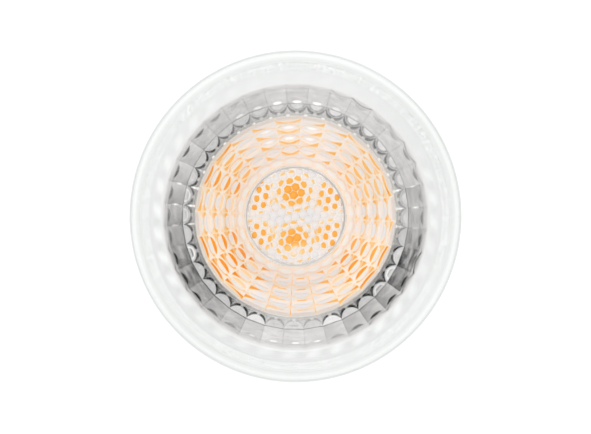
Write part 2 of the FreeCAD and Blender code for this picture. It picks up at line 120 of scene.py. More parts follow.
def colourRamp(tree, share, *stops):
    # A colour for each share from 0 to 1; stops are (share, red, green, blue).
    node = put(tree, "ValToRGB", Fac=share)
    elements = node.color_ramp.elements
    while len(elements) < len(stops):
        elements.new(1.0)
    for element, (position, *colour) in zip(elements, stops):
        element.position = position
        element.color = (*colour, 1.0)
    return node.outputs[0]


def greyColour(tree, level, tint=(1.0, 1.0, 1.0)):
    # One grey level made a colour, with a slight tint.
    node = tree.nodes.new("ShaderNodeCombineColor")
    for k in range(3):
        join(tree, level * tint[k], node.inputs[k])
    return node.outputs[0]


def noiseField(tree, scale, detail=2.0, stretch=(1.0, 1.0, 1.0), roughness=0.5):
    # Blender's noise on Object coordinates, about 0.5 on average; scale is in cells for each millimetre.
    place = tree.nodes.new("ShaderNodeTexCoord").outputs["Object"]
    mapping = put(tree, "Mapping", Vector=place, Scale=tuple(s / mm for s in stretch))
    noise = put(tree, "TexNoise", Vector=mapping.outputs[0], Scale=scale, Detail=detail,
                Roughness=roughness)
    return Field(tree, noise.outputs["Fac"])


def objectPlace(tree):
    # Object coordinates in millimetres, as three fields.
    place = tree.nodes.new("ShaderNodeTexCoord").outputs["Object"]
    split = put(tree, "SeparateXYZ", Vector=place)
    return [Field(tree, split.outputs[k]) / mm for k in range(3)]


def streakField(tree, acrossScale, upScale):
    # Blender's noise on the flank's own map, drawn out along the round.
    uv = tree.nodes.new("ShaderNodeUVMap")
    uv.uv_map = "cellPlace"
    mapping = put(tree, "Mapping", Vector=uv.outputs[0], Scale=(acrossScale, upScale, 1.0))
    noise = put(tree, "TexNoise", Vector=mapping.outputs[0], Scale=1.0, Detail=2.0)
    return Field(tree, noise.outputs["Fac"])


def mapPlace(tree, name):
    # A piece's own UV map, as two fields.
    uv = tree.nodes.new("ShaderNodeUVMap")
    uv.uv_map = name
    split = put(tree, "SeparateXYZ", Vector=uv.outputs[0])
    return Field(tree, split.outputs[0]), Field(tree, split.outputs[1])


def bumpFrom(tree, height, distance, strength=1.0):
    return put(tree, "Bump", Height=height, Distance=distance * mm, Strength=strength).outputs[0]


def mixShaders(tree, share, first, second):
    # The first shader where the share is 0, the second where it is 1.
    node = put(tree, "MixShader", Fac=share)
    tree.links.new(first, node.inputs[1])
    tree.links.new(second, node.inputs[2])
    return node.outputs[0]


def solidShader(tree, colour, bump, **settings):
    shader = put(tree, "BsdfPrincipled", Base_Color=colour, **settings)
    if bump is not None:
        tree.links.new(bump, shader.inputs["Normal"])
    return shader.outputs[0]


def directShare(tree):
    # 1 for what the camera sees by itself, in a mirror or through glass, 0 for all other rays.
    path = tree.nodes.new("ShaderNodeLightPath")
    seen = Field(tree, path.outputs["Is Camera Ray"])
    for kind in ("Is Glossy Ray", "Is Transmission Ray"):
        seen = seen.most(Field(tree, path.outputs[kind]))
    return seen


def outsideShare(tree):
    # 1 on the side that faces outward.
    return 1.0 - Field(tree, tree.nodes.new("ShaderNodeNewGeometry").outputs["Backfacing"])


def startMaterial(name):
    material = bpy.data.materials.new(name)
    material.use_nodes = True
    material.node_tree.nodes.clear()
    return material, material.node_tree


def finishMaterial(material, shader):
    tree = material.node_tree
    output = tree.nodes.new("ShaderNodeOutputMaterial")
    tree.links.new(shader, output.inputs["Surface"])
    return material


def roundBell(angle, base, *bells):
    # A base value and bells over the full round, each (middle in degrees, width, strength).
    total = base
    for middle, width, strength in bells:
        away = ((angle - math.radians(middle)) * 0.5).sine().size()
        total = away.rise(math.sin(math.radians(width) / 2), 0.0) * strength + total
    return total


def waves(angle, mean, *terms):
    # A mean and a few rounds of cosine and sine, each (times, cosine, sine).
    total = mean
    for times, cosine, sine in terms:
        turned = angle * float(times)
        total = turned.cosine() * cosine + turned.sine() * sine + total
    return total


class FacetPlace:
    # Where a point lies on a wall of like facets: facets counted across, how far along the wall its map
    # says, side from -1 to 1 across its own facet, and the angle of that facet's middle.
    def __init__(self, tree, mapName, count, phase, rounds):
        self.tree, self.rounds = tree, rounds
        self.across, self.along = mapPlace(tree, mapName)
        self.side = (self.across.part() - 0.5) * 2.0
        turn = math.radians(360.0 / count)
        self.angle = (self.across.whole() + 0.5) * turn + math.radians(phase)
        self.nearest = (self.across + 0.5).whole()    # the nearest border between two facets
        self.border = self.nearest * turn + math.radians(phase)

    def share(self, name):
        return roundBell(self.angle, *self.rounds[name])

    def borderShare(self, name):
        return roundBell(self.border, *self.rounds[name])


def ringFaces(rows, columns, closed=False):
    # Quads that join each ring of points to the next; the last column meets the first.
    i = np.arange(rows if closed else rows - 1)[:, None]
    j = np.arange(columns)[None, :]
    low, high = (i % rows) * columns, ((i + 1) % rows) * columns
    left, right = j, (j + 1) % columns
    return np.stack([low + left, low + right, high + right, high + left], -1).reshape(-1, 4)


def cornerSteps(rows, columns, closed=False):
    # How many rows and columns each face's four corners lie from the start, without wrapping.
    i = np.arange(rows if closed else rows - 1)[:, None, None]
    j = np.arange(columns)[None, :, None]
    shape = (len(i), columns, 4)
    down = np.broadcast_to(i + np.array([0, 0, 1, 1]), shape).reshape(-1, 4)
    across = np.broadcast_to(j + np.array([0, 1, 1, 0]), shape).reshape(-1, 4)
    return down, across


def makePiece(name, points, faces, materials, zones=None, maps=None, crease=30.0):
    # Points and quads in millimetres become a mesh with its UV maps, and poles and seams are merged.
    mesh = bpy.data.meshes.new(name)
    mesh.from_pydata((points * mm).tolist(), [], faces.tolist())
    for mapName, (across, up) in (maps or {}).items():
        layer = mesh.uv_layers.new(name=mapName)
        layer.data.foreach_set("uv", np.stack([across, up], -1).astype(np.float32).ravel())
    for material in materials:
        mesh.materials.append(material)
    if zones is not None:
        mesh.polygons.foreach_set("material_index", np.asarray(zones, np.int32))
    work = bmesh.new()
    work.from_mesh(mesh)
    bmesh.ops.remove_doubles(work, verts=work.verts, dist=1e-7)
    bmesh.ops.recalc_face_normals(work, faces=work.faces)
    work.to_mesh(mesh)
    work.free()
    mesh.validate()
    mesh.shade_smooth()
    mesh.set_sharp_from_angle(angle=math.radians(crease))
    piece = bpy.data.objects.new(name, mesh)
    bpy.context.scene.collection.objects.link(piece)
    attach(piece, "root")
    print("made", name, len(mesh.polygons), "faces")
    return piece


def facetColumns(count, perFacet, phase):
    # Angle of each column of points, its place in its facet from -1 to 1, and 1 / cos(angle from the
    # facet's middle), by which a polygon stands off its inner circle.
    columns = np.arange(count * perFacet)
    local = columns % perFacet / perFacet * 2.0 - 1.0
    angle = math.radians(phase) + columns * 2.0 * math.pi / len(columns)
    return angle, local, 1.0 / np.cos(local * math.pi / count)


def roundPoints(radius, angle, height):
    return np.stack([radius * np.cos(angle), radius * np.sin(angle), height], -1).reshape(-1, 3)


def arcBetween(start, end, sag, steps):
    # Points on the arc from start to end whose middle stands sag to the right of the chord.
    (r0, z0), (r1, z1) = start, end
    run, rise = r1 - r0, z1 - z0
    chord = math.hypot(run, rise)
    t = np.linspace(0.0, 1.0, steps)[:, None]
    side = np.array([rise, -run]) / chord
    return np.array(start) + t * np.array([run, rise]) + 4.0 * sag * t * (1.0 - t) * side


def straight(start, end, steps):
    t = np.linspace(0.0, 1.0, steps)[:, None]
    return np.array(start) * (1.0 - t) + np.array(end) * t


def roundCorner(centre, radius, fromAngle, toAngle, steps):
    a = np.radians(np.linspace(fromAngle, toAngle, steps))
    return np.stack([centre[0] + radius * np.cos(a), centre[1] + radius * np.sin(a)], -1)


glass = {
    "facets": 36,
    "phase": 4.2,              # angle of the first facet's corner
    "columnsPerFacet": 16,
    "rimRound": 0.7,
    "rimWall": 1.65,
    "stepWidth": 1.25,
    "stepDepth": 2.8,          # ledge below the rim's top
    "coneShare": 0.2135,       # cone, facets and ribs as shares of the hollow's depth
    "facetShare": 0.356,
    "ribShare": 0.161,
    "facetTop": 20.2,
    "facetFoot": 17.1,
    "ribRoundness": 0.769,
    "funnelLedge": 0.15,
    "wall": 1.9,
    "neckRadius": 14.6,
    "neckWall": 1.6,
    "neckLength": 3.0,
    "bandHeight": 4.2,
    "bowlSag": 0.95,
    "flareSag": 0.45,
    "steepClear": 0.97,        # what the steep walls clear up to where they are seen square on
    "gleamShare": 0.7,         # mirrored share edge on and square on
    "flatShare": 0.04,
}
glassRounds = {
    # How strong each painted mark of shade and highlight is round the face: a base value, then bells as in
    # roundBell.
    "border": (0.0, (7, 22, 0.9), (172, 26, 1.1)),
    "coneLobe": (0.1, (190, 95, 1.0), (300, 70, 0.9), (8, 28, 0.7)),
    "coneGlow": (0.0, (265, 55, 0.11)),
    "tilt": (0.0, (185, 55, -0.10), (150, 30, -0.06), (318, 50, 0.10)),
    "cloudShade": (0.28, (206, 16, 0.6), (338, 16, 0.8)),
    "shade": (0.0, (204, 14, -0.13), (336, 14, -0.15), (318, 10, 0.06)),
    "scallop": (0.07, (30, 24, 0.26), (62, 12, 0.34), (205, 26, 0.2), (318, 20, 0.3),
                (338, 14, 0.5)),
    "spot": (0.05, (215, 52, 0.38), (312, 40, 0.42), (150, 42, 0.42), (25, 26, 0.26),
             (55, 26, 0.12), (352, 20, 0.26)),
    "flash": (0.0, (266, 26, 0.8)),
    "glint": (0.0, (90, 30, 0.75), (60, 14, 0.12), (118, 12, 0.2)),
    "facetFoot": (0.14, (255, 100, 0.22)),
    "ribDusk": (0.05, (42, 60, 0.36), (95, 46, 0.24), (150, 45, 0.42), (215, 40, 0.46),
                (246, 20, 0.56), (300, 30, 0.66), (330, 22, 0.5)),
    "ribFill": (0.565, (248, 16, 0.26), (289, 16, 0.28), (268, 14, 0.16),
                (55, 75, -0.06), (334, 10, 0.2), (194, 9, 0.1)),
    "ribCore": (0.0, (52, 75, 0.26), (170, 22, 0.10), (4, 14, 0.06)),
    "ribRing": (0.03, (60, 70, 0.14), (172, 20, 0.16)),
    "ribNested": (0.0, (199.5, 9, 0.35), (324, 12, 0.3), (174, 14, 0.16), (268, 12, 0.2)),
    "ribShine": (0.0, (199.5, 9, 0.3), (324, 12, 0.3), (172, 18, 0.3)),
    "valleyDusk": (0.0, (310, 36, 0.16), (228, 26, 0.12), (185, 18, 0.1)),
    "dots": (0.03, (80, 75, 0.75), (10, 40, 0.7), (150, 40, 0.6)),
}
# Painted grey round the face, as in waves: the facets', then that of the rib walls, valleys and funnel.
facetWaves = (0.535, (1, 0.03, 0.036), (2, -0.12, 0.029), (3, -0.002, 0.096), (4, 0.027, -0.005))
ribWaves = (0.46, (1, 0.052, 0.049), (2, -0.09, 0.035), (3, 0.0, 0.086), (4, 0.069, 0.01))


def facing(tree):
    # 0 where the surface is seen square on, 1 where it is seen edge on.
    return Field(tree, put(tree, "LayerWeight", Blend=0.5).outputs["Facing"])


def glassShade(tree, tint, gloss=1.0, roughness=0.03, normal=None):
    # Clear glass as a thin coloured film with a gloss over its outer side; lamps shine through it.
    clear = put(tree, "BsdfTransparent", Color=tint).outputs[0]
    shine = put(tree, "BsdfGlossy", Color=(1.0, 1.0, 1.0, 1.0), Roughness=roughness)
    if normal is not None:
        tree.links.new(normal, shine.inputs["Normal"])
    mirrored = facing(tree).calc("POWER", 5.0) * glass["gleamShare"] + glass["flatShare"]
    mixed = mixShaders(tree, mirrored * outsideShare(tree) * gloss, clear, shine.outputs[0])
    shadow = Field(tree, tree.nodes.new("ShaderNodeLightPath").outputs["Is Shadow Ray"])
    through = put(tree, "BsdfTransparent", Color=(0.97, 0.98, 0.975, 1.0)).outputs[0]
    return mixShaders(tree, shadow, mixed, through)


def pressedRipple(tree):
    # The faint waviness of glass that was pressed in a mould.
    return bumpFrom(tree, noiseField(tree, 0.35, detail=1.5), 0.02, 0.5)


def outerGlassMaterial():
    material, tree = startMaterial("clearPressedGlass")
    z = objectPlace(tree)[2]
    level = 0.985 - facing(tree).rise(0.6, 1.0) * (z.rise(42.0, 41.0) * 0.1 + 0.06)
    tint = greyColour(tree, level, (0.995, 1.0, 0.997))
    return finishMaterial(material, glassShade(tree, tint, normal=pressedRipple(tree)))


def rimMaterial():
    # Fine turned lines, a painted darker line where the wall meets the mouth, painted glints on the ledge
    # at the top, and a soft grey ledge with painted shade, darker toward +y.
    material, tree = startMaterial("rimGlass")
    x, y = objectPlace(tree)[:2]
    radius = (x.square() + y.square()).root()
    lines = (radius * 6.0 + noiseField(tree, 0.05) * 3.0).sine() * 0.012
    edge = facing(tree).rise(0.2, 0.8) * 0.05
    mouth = radius.bell(23.2, 0.16) * 0.05
    # painted glints: bright dashes on the ledge at the top
    glint = radius.bell(22.9, 0.14) * x.bell(4.0, 6.0) * y.rise(0.0, 1.0)
    glint = glint * noiseField(tree, 0.8).rise(0.4, 0.6) * 0.14
    # painted shade on the ledge, darker toward +y and lighter toward -y
    ledge = radius.rise(23.45, 23.25) * (y * 0.0015 + 0.005)
    tint = greyColour(tree, 0.855 + lines + edge - mouth - ledge + glint, (0.985, 1.0, 0.992))
    return finishMaterial(material, glassShade(tree, tint, normal=pressedRipple(tree)))


def borderHighlights(at, width):
    # Painted highlights: bright strokes on the borders between facets.
    return (at.across - at.nearest).size().rise(width, 0.0) * at.borderShare("border")


def coneLevel(at):
    # Painted level: pale highlight lobes that lean across each facet, a thin painted dark line near its top
    # and a painted glow near its foot.
    side, down = at.side, at.along
    lean = side + 0.42 - (down - 0.55) * 0.7
    lobe = lean.size().rise(0.85, 0.05) * down.rise(0.18, 0.5) * down.rise(1.0, 0.82)
    lobe = lobe - side.bell(0.62, 0.4) * down.rise(0.25, 0.5) * down.rise(0.95, 0.7) * 0.3
    ring = down.bell(0.08, 0.06) * 0.03
    glow = down.bell(0.92, 0.09) * at.share("coneGlow")
    return lobe * at.share("coneLobe") * 0.12 - ring + glow + 0.84


def facetLevel(at):
    side, down = at.side, at.along
    arch = 1.0 - side.square()
    facet = at.across.whole()
    jitter = ((facet * 12.9898).sine() * 43.7).part() - 0.5
    turn = ((facet * 78.233).sine() * 24.6).part() - 0.5
    cloud = noiseField(at.tree, 0.55, detail=2.0) - 0.5
    # painted shade: a grey that changes round the face, from one side of each facet to the other, in clouds
    # and from facet to facet
    body = waves(at.angle, *facetWaves) + side * (at.share("tilt") + turn * 0.09)
    body = body + cloud * at.share("cloudShade") - (down - 0.6) * 0.05 + jitter * 0.06 + at.share("shade")
    shelf = body * 0.45 + 0.37                       # the softer part above the drooping line
    level = body + down.rise(0.275, 0.245) * (shelf - body)
    level = level + down.rise(0.17, 0.0) * (0.85 - level)
    # painted dark lines: the drooping one across the soft part, and the faint straight one under it
    scallop = (down - arch * 0.10).bell(0.135, 0.05) * (1.15 - arch * 0.4) * at.share("scallop")
    line = down.bell(0.262, 0.028) * 0.10
    # painted dark spot under it, half as wide as the facet, and a painted bright flash instead near the
    # bottom of the round
    below = down - 0.285
    belly = 1.0 - (side / 0.72).square()
    spot = below.rise(-0.01, 0.02) * (below - belly * 0.14).rise(0.02, -0.05)
    spot = spot * side.size().rise(0.76, 0.56) * at.share("spot")
    flash = (((side - 0.15) / 0.36).square() + ((down - 0.325) / 0.045).square()).rise(1.3, 0.2)
    # painted highlights: bright spots just above the foot, and bright strokes on the borders
    glint = ((side / 0.46).square() + ((down - 0.895) / 0.075).square()).rise(1.3, 0.3)
    strokes = borderHighlights(at, 0.075) * down.bell(0.63, 0.24) * 0.55
    # painted shade darkens each facet's edges and its foot
    paintedBorder = side.size().rise(0.88, 1.0) * down.rise(0.1, 0.3) * 0.09
    foot = down.rise(0.94, 0.98) * at.share("facetFoot")
    level = level - scallop - line - spot - paintedBorder - foot
    return (level + flash * at.share("flash") + glint * at.share("glint") + strokes).held()


def ribTopLevel(at):
    side, down = at.side, at.along
    # Painted level: a lighter core and painted highlight arcs, random speckle, and painted shade in a ring,
    # nested arcs, toward the outline, at the foot and along the top edge.
    depth = down * (1.0 - side.square()).most(0.0).root()
    reach = (side.square() + depth.square()).root()  # 1 on the rib's outline
    stem = side.size().rise(0.26, 0.12)
    core = reach.rise(0.68, 0.48) * at.share("ribCore")
    ring = reach.bell(0.74, 0.14) * at.share("ribRing")
    nested = depth.bell(0.38, 0.15) * (side / 0.55).size().rise(1.0, 0.6) * at.share("ribNested")
    shine = reach.bell(0.66, 0.14) * at.share("ribShine")
    dark = reach.rise(0.86, 0.96) * (1.0 - stem * 0.75) * depth.rise(0.2, 0.5) * at.share("ribDusk")
    foot = depth.rise(0.86, 0.94) * stem * 0.14
    edge = down.rise(0.06, 0.0) * 0.08
    speckle = (noiseField(at.tree, 1.3, detail=1.0) - 0.5) * 0.16
    return (at.share("ribFill") + core - ring - nested + shine - dark + speckle - edge - foot).held()


def valleyLevel(at):
    # Painted level: painted shade near the ribs' outlines and in some sectors, a lighter stem and painted
    # highlight strokes on the borders.
    side, down = at.side, at.along
    stem = side.size().rise(0.26, 0.12)
    away = down * (1.13 - (1.0 - side.square()).most(0.0).root())    # from the rib's outline, in sags
    near = away.rise(0.34, 0.08) * (1.0 - stem) * (at.share("ribDusk") * 0.75 + 0.06)
    dusk = at.share("valleyDusk") * (1.0 - down * 0.6)
    strokes = borderHighlights(at, 0.09) * down.rise(0.3, 0.8) * 0.9
    return (waves(at.angle, *ribWaves) - near - dusk + strokes + stem * 0.12).held()


def funnelLevel(at):
    # Painted level: random blotches, a lighter stem at the top of each facet's middle, painted highlight
    # dots and strokes on the borders, and paler further down.
    side, down = at.side, at.along
    blotch = (noiseField(at.tree, 0.3) - 0.5) * 0.1
    stem = side.size().rise(0.24, 0.12) * down.rise(0.09, 0.03) * 0.12
    dot = ((at.across - at.nearest) / 0.11).square() + ((down - 0.115) / 0.05).square()
    dots = dot.rise(1.4, 0.2) * at.borderShare("dots")
    strokes = borderHighlights(at, 0.085) * down.rise(0.16, 0.08) * 0.8
    pale = down.rise(0.11, 0.18) * 0.24 + 0.07
    return (waves(at.angle, *ribWaves) + blotch + stem + dots + strokes + pale).held()


def zoneMaterial(name, levelAt, tint, gloss, steep=True):
    # One zone of the pressed glass: a film whose clearness is worked out at each point. The steep walls
    # clear up where they are seen square on, as thick glass does.
    material, tree = startMaterial(name)
    # the level is painted shade and highlight, standing for what the glass shows by refraction
    level = levelAt(FacetPlace(tree, "wallPlace", glass["facets"], glass["phase"], glassRounds))
    if steep:
        clear = glass["steepClear"]
        level = (facing(tree).rise(0.3, 0.6) * 0.75 + 0.25) * (level - clear) + clear
    return finishMaterial(material, glassShade(tree, greyColour(tree, level, tint), gloss=gloss))


def makeGlassBody():
    # Every point is (R cos a, R sin a, Z): R and Z follow the half section row by row, and on the
    # facets R = inradius / cos(angle from the facet's middle), less sag * sqrt(1 - u^2) on the ribs.
    low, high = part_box("glass_body")
    rimRadius = (high.x - low.x) / 2 / mm
    faceZ, footZ = high.z / mm, low.z / mm
    g = glass
    mouth = rimRadius - g["rimWall"]
    step = mouth - g["stepWidth"]
    stepZ = faceZ - g["stepDepth"]
    neckTopZ = footZ + g["neckLength"]
    depth = stepZ - neckTopZ
    facetTopZ = stepZ - g["coneShare"] * depth
    facetFootZ = facetTopZ - g["facetShare"] * depth
    ribFootZ = facetFootZ - g["ribShare"] * depth
    half = math.pi / g["facets"]
    crest = g["facetFoot"] * (1.0 - g["ribRoundness"] * math.tan(half))
    funnelTop = crest - g["funnelLedge"]
    neckBore = g["neckRadius"] - g["neckWall"]
    shoulder = (g["facetFoot"] / math.cos(half) + g["wall"], ribFootZ)
    bandFoot = (rimRadius - g["rimWall"] / 2, faceZ - g["bandHeight"])
    bandLow = (rimRadius, bandFoot[1] + g["rimWall"] / 2)
    roundAt = (rimRadius - g["rimRound"], faceZ - g["rimRound"])
    lip = g["rimRound"] / 2
    lipAt = (mouth + lip, faceZ - lip)

    angle, local, polygon = facetColumns(g["facets"], g["columnsPerFacet"], g["phase"])
    columns = len(angle)
    # rib outline: half an ellipse that hangs from the facet's foot to the crest
    ribOutline = g["facetFoot"] * polygon - (g["facetFoot"] - crest) * np.sqrt(1.0 - local ** 2)

    rounds = np.ones(columns)
    rows = []                                        # (radius for each column, height, zone, place in it)

    def addProfile(zone, points):
        for t, (r, z) in zip(np.linspace(0.0, 1.0, len(points)), points):
            rows.append((r * rounds, z, zone, t))

    def addBlend(zone, count, radii, heights):
        # Rings that lead from the first radii and height to the second.
        for t in np.linspace(0.0, 1.0, count):
            radius = radii[0] * (1 - t) + radii[1] * t
            rows.append((radius, heights[0] * (1 - t) + heights[1] * t, zone, t))

    addProfile(0, np.vstack([
        straight((rimRadius, bandLow[1]), (rimRadius, roundAt[1]), 4)[:-1],
        roundCorner(roundAt, g["rimRound"], 0.0, 90.0, 13),
        roundCorner(lipAt, lip, 90.0, 180.0, 10),
        straight((mouth, lipAt[1]), (mouth, stepZ), 3)[1:],
    ]))
    addProfile(0, straight((mouth, stepZ), (step, stepZ), 3)[1:])
    addBlend(1, 9, (step * rounds, g["facetTop"] * polygon), (stepZ, facetTopZ))
    addBlend(2, 9, (g["facetTop"] * polygon, g["facetFoot"] * polygon), (facetTopZ, facetFootZ))
    addBlend(3, 5, (g["facetFoot"] * polygon, ribOutline), (facetFootZ, facetFootZ))
    addBlend(4, 4, (ribOutline, ribOutline), (facetFootZ, ribFootZ))
    addBlend(5, 4, (ribOutline, funnelTop * rounds), (ribFootZ, ribFootZ))
    addProfile(6, straight((funnelTop, ribFootZ), (neckBore, neckTopZ), 8))
    addProfile(7, np.vstack([
        straight((neckBore, neckTopZ), (neckBore, footZ), 4)[1:],
        straight((neckBore, footZ), (g["neckRadius"], footZ), 3)[1:],
        straight((g["neckRadius"], footZ), (g["neckRadius"], neckTopZ), 4)[1:],
        arcBetween((g["neckRadius"], neckTopZ), shoulder, g["bowlSag"], 12)[1:],
        arcBetween(shoulder, bandFoot, g["flareSag"], 16)[1:],
        straight(bandFoot, bandLow, 4)[1:-1],
    ]))

    radius = np.array([r for r, z, zone, t in rows])
    height = np.array([z for r, z, zone, t in rows])[:, None] * np.ones(columns)
    points = roundPoints(radius, angle, height)
    faces = ringFaces(len(rows), columns, closed=True)
    down, across = cornerSteps(len(rows), columns, closed=True)
    zone = np.array([row[2] for row in rows])
    place = np.array([row[3] for row in rows])
    faceZone = zone[(down[:, 2]) % len(rows)]        # a face belongs to the zone of its far row
    startPlace = np.where(zone[down[:, 0] % len(rows)] == faceZone, place[down[:, 0] % len(rows)], 0.0)
    endPlace = place[down[:, 2] % len(rows)]
    up = np.stack([startPlace, startPlace, endPlace, endPlace], -1)
    maps = {"wallPlace": (across / g["columnsPerFacet"], up)}
    materials = [
        rimMaterial(),
        zoneMaterial("coneGlass", coneLevel, (0.992, 1.0, 0.996), 0.3),
        zoneMaterial("facetGlass", facetLevel, (1.018, 0.992, 0.985), 0.2),
        zoneMaterial("ribTopGlass", ribTopLevel, (1.012, 0.994, 0.988), 0.25, False),
        zoneMaterial("ribWallGlass", valleyLevel, (1.02, 0.992, 0.984), 0.2),
        zoneMaterial("valleyGlass", valleyLevel, (1.02, 0.992, 0.984), 0.2, False),
        zoneMaterial("funnelGlass", funnelLevel, (1.03, 0.993, 0.978), 0.2),
        outerGlassMaterial(),
    ]
    piece = makePiece("glassBody", points, faces, materials, faceZone, maps, crease=8.6)
    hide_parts("glass_body")
    return piece


makeGlassBody()


lens = {
    "sectors": 24,
    "phase": 12.0,
    "columnsPerSector": 12,
    "rowPitch": 1.64,
    "rowSteps": 8,
    "footRadius": 7.75,
    "topRadius": 15.0,
    "depth": 10.8,
    "flankCurve": 0.17,
    "pillow": 0.16,            # how far each facet of the flank bulges, along (out, down)
    "pillowWay": (0.83, 0.56),
    "topRowPillow": 0.4,       # the cut top row's share of it
    "plateThickness": 1.6,
    "cavityRadius": 7.1,
    "cavityDepth": 5.4,
    "domeSag": 1.7,
    "domeBow": -0.4,           # how far the dome's section stands off its chord
    "edgeRound": 0.12,
    "windowRadius": 7.25,
    "windowRing": 0.26,        # width of the sloping step round the window
    "windowDepth": 0.6,
}
lenslets = {
    "pitch": 1.22,
    "gap": 0.05,
    "turn": 16.0,
    "columns": 18,
    "windowGap": 0.03,
    "reachPast": 0.3,          # lenslets whose lattice point lies this far past the window are cut ones
    "middleInside": 0.12,
    "profile": ((0.0, -0.15), (1.0, -0.15), (1.0, 0.0), (0.82, 0.0726), (0.45, 0.176), (0.0, 0.22)),
    "mapping": -2.5,           # how far the view jumps over the light board for a step across a lenslet
    "sideMapping": -6.5,
    "sideFrom": 3.1,
}
lightImages = {
    "shift": 0.25,             # the whole set of images lies this far to the left
    "columnStep": 5.75,
    "middleRow": 3.72,
    "sideRow": 3.0,
    "sideShrink": 0.7,
    "sideHalf": 3.4,
    "halfSize": 2.5,
    "fade": 0.5,
}
flankRounds = {
    # How strong each mark of painted reflection, highlight and shade is over the round of sectors, as for
    # the glass.
    "crescent": (0.0, (29, 30, 0.62), (94.5, 12, 0.16), (151, 28, 0.95), (209, 30, 1.3),
                 (325, 30, 1.05)),
    "left": (0.0, (58, 60, 0.56), (230, 44, 1.08), (200, 16, 0.15)),
    "right": (0.0, (120, 50, 0.46), (150, 24, 0.34), (306, 44, 0.8), (338, 20, 0.2)),
    "leftLine": (0.68, (85, 70, 0.5), (250, 55, 0.2)),
    "rightLine": (0.68, (105, 70, 0.5), (288, 55, 0.2)),
    "fall": (0.0, (78, 40, 0.40), (246, 26, 0.30)),
    "climb": (0.0, (111, 40, 0.40), (288, 24, 0.30)),
    "fan": (0.0, (3, 24, 0.48), (179, 24, 0.5)),
    "bow": (0.0, (94, 30, 0.5), (267, 32, 0.12)),
    "hornLeft": (0.0, (19.5, 9, 0.55), (139.5, 9, 0.6), (199.5, 9, 0.7), (304.5, 9, 0.6),
                 (319.5, 9, 0.6)),
    "hornRight": (0.0, (49.5, 9, 0.5), (169.5, 9, 0.6), (229.5, 9, 1.0), (334.5, 9, 0.6),
                  (349.5, 9, 0.5)),
    "paintedBorder": (0.1, (260, 24, 0.62), (282, 22, 0.55), (92, 14, 0.2)),
    "dash": (0.0, (259, 20, 0.44), (276, 16, 0.5)),
    "grid": (0.0, (3, 32, 0.9), (179, 30, 0.8), (215, 34, 0.5), (320, 34, 0.6),
             (60, 40, 0.4)),
    "warm": (0.0, (30, 42, 0.4), (150, 40, 0.45), (210, 44, 0.75), (325, 46, 0.7),
             (94, 50, -0.3), (267, 34, -0.2), (0, 24, -0.25)),
    "paleReflection": (0.0, (93, 44, 0.45)),
    "gleam": (0.0, (93, 34, 1.4)),
}


class FlankPlace(FacetPlace):
    # Adds v, from -1 to 1 up the facet, and the fields that the marks on it share.
    def __init__(self, tree):
        super().__init__(tree, "cellPlace", lens["sectors"], lens["phase"], flankRounds)
        up, u = self.along, self.side
        self.v = ((up + up.rise(3.3, 4.0) * 0.155).part() - 0.5) * 2.0    # the plate squeezes the top row
        self.shares = {name: self.share(name) for name in flankRounds}
        self.rowsShown = up.rise(0.6, 0.9)
        self.ellipse = ((u / 0.82).square() + ((self.v - 0.04) / 0.44).square()).root()
        self.grid = u.size().rise(0.86, 1.0).most(self.wrapped(1.0).size().rise(0.22, 0.06))
        self.streaks = streakField(tree, 2.3, 6.5) - 0.5

    def wrapped(self, line):
        # How far v is from a line that repeats in every row of facets, upwards positive.
        steps = (self.v - line) * 0.5
        return (steps - (steps + 0.5).whole()) * 2.0

    def wedge(self, place, side, droop):
        # A wedge from a sector's border toward its middle, with a faint tail right across.
        away = (self.wrapped(self.shares[side + "Line"]) + place * droop * 2.4).size()
        reach = droop * 0.55 + 0.44
        body = (away - ((reach - place) / reach).held() * 0.46).rise(0.1, -0.18)
        body = body * place.rise(reach, reach - 0.14) * place.rise(0.0, 0.03)
        return (body + away.rise(0.15, 0.0) * place.rise(1.0, 0.5) * 0.34) * self.shares[side]


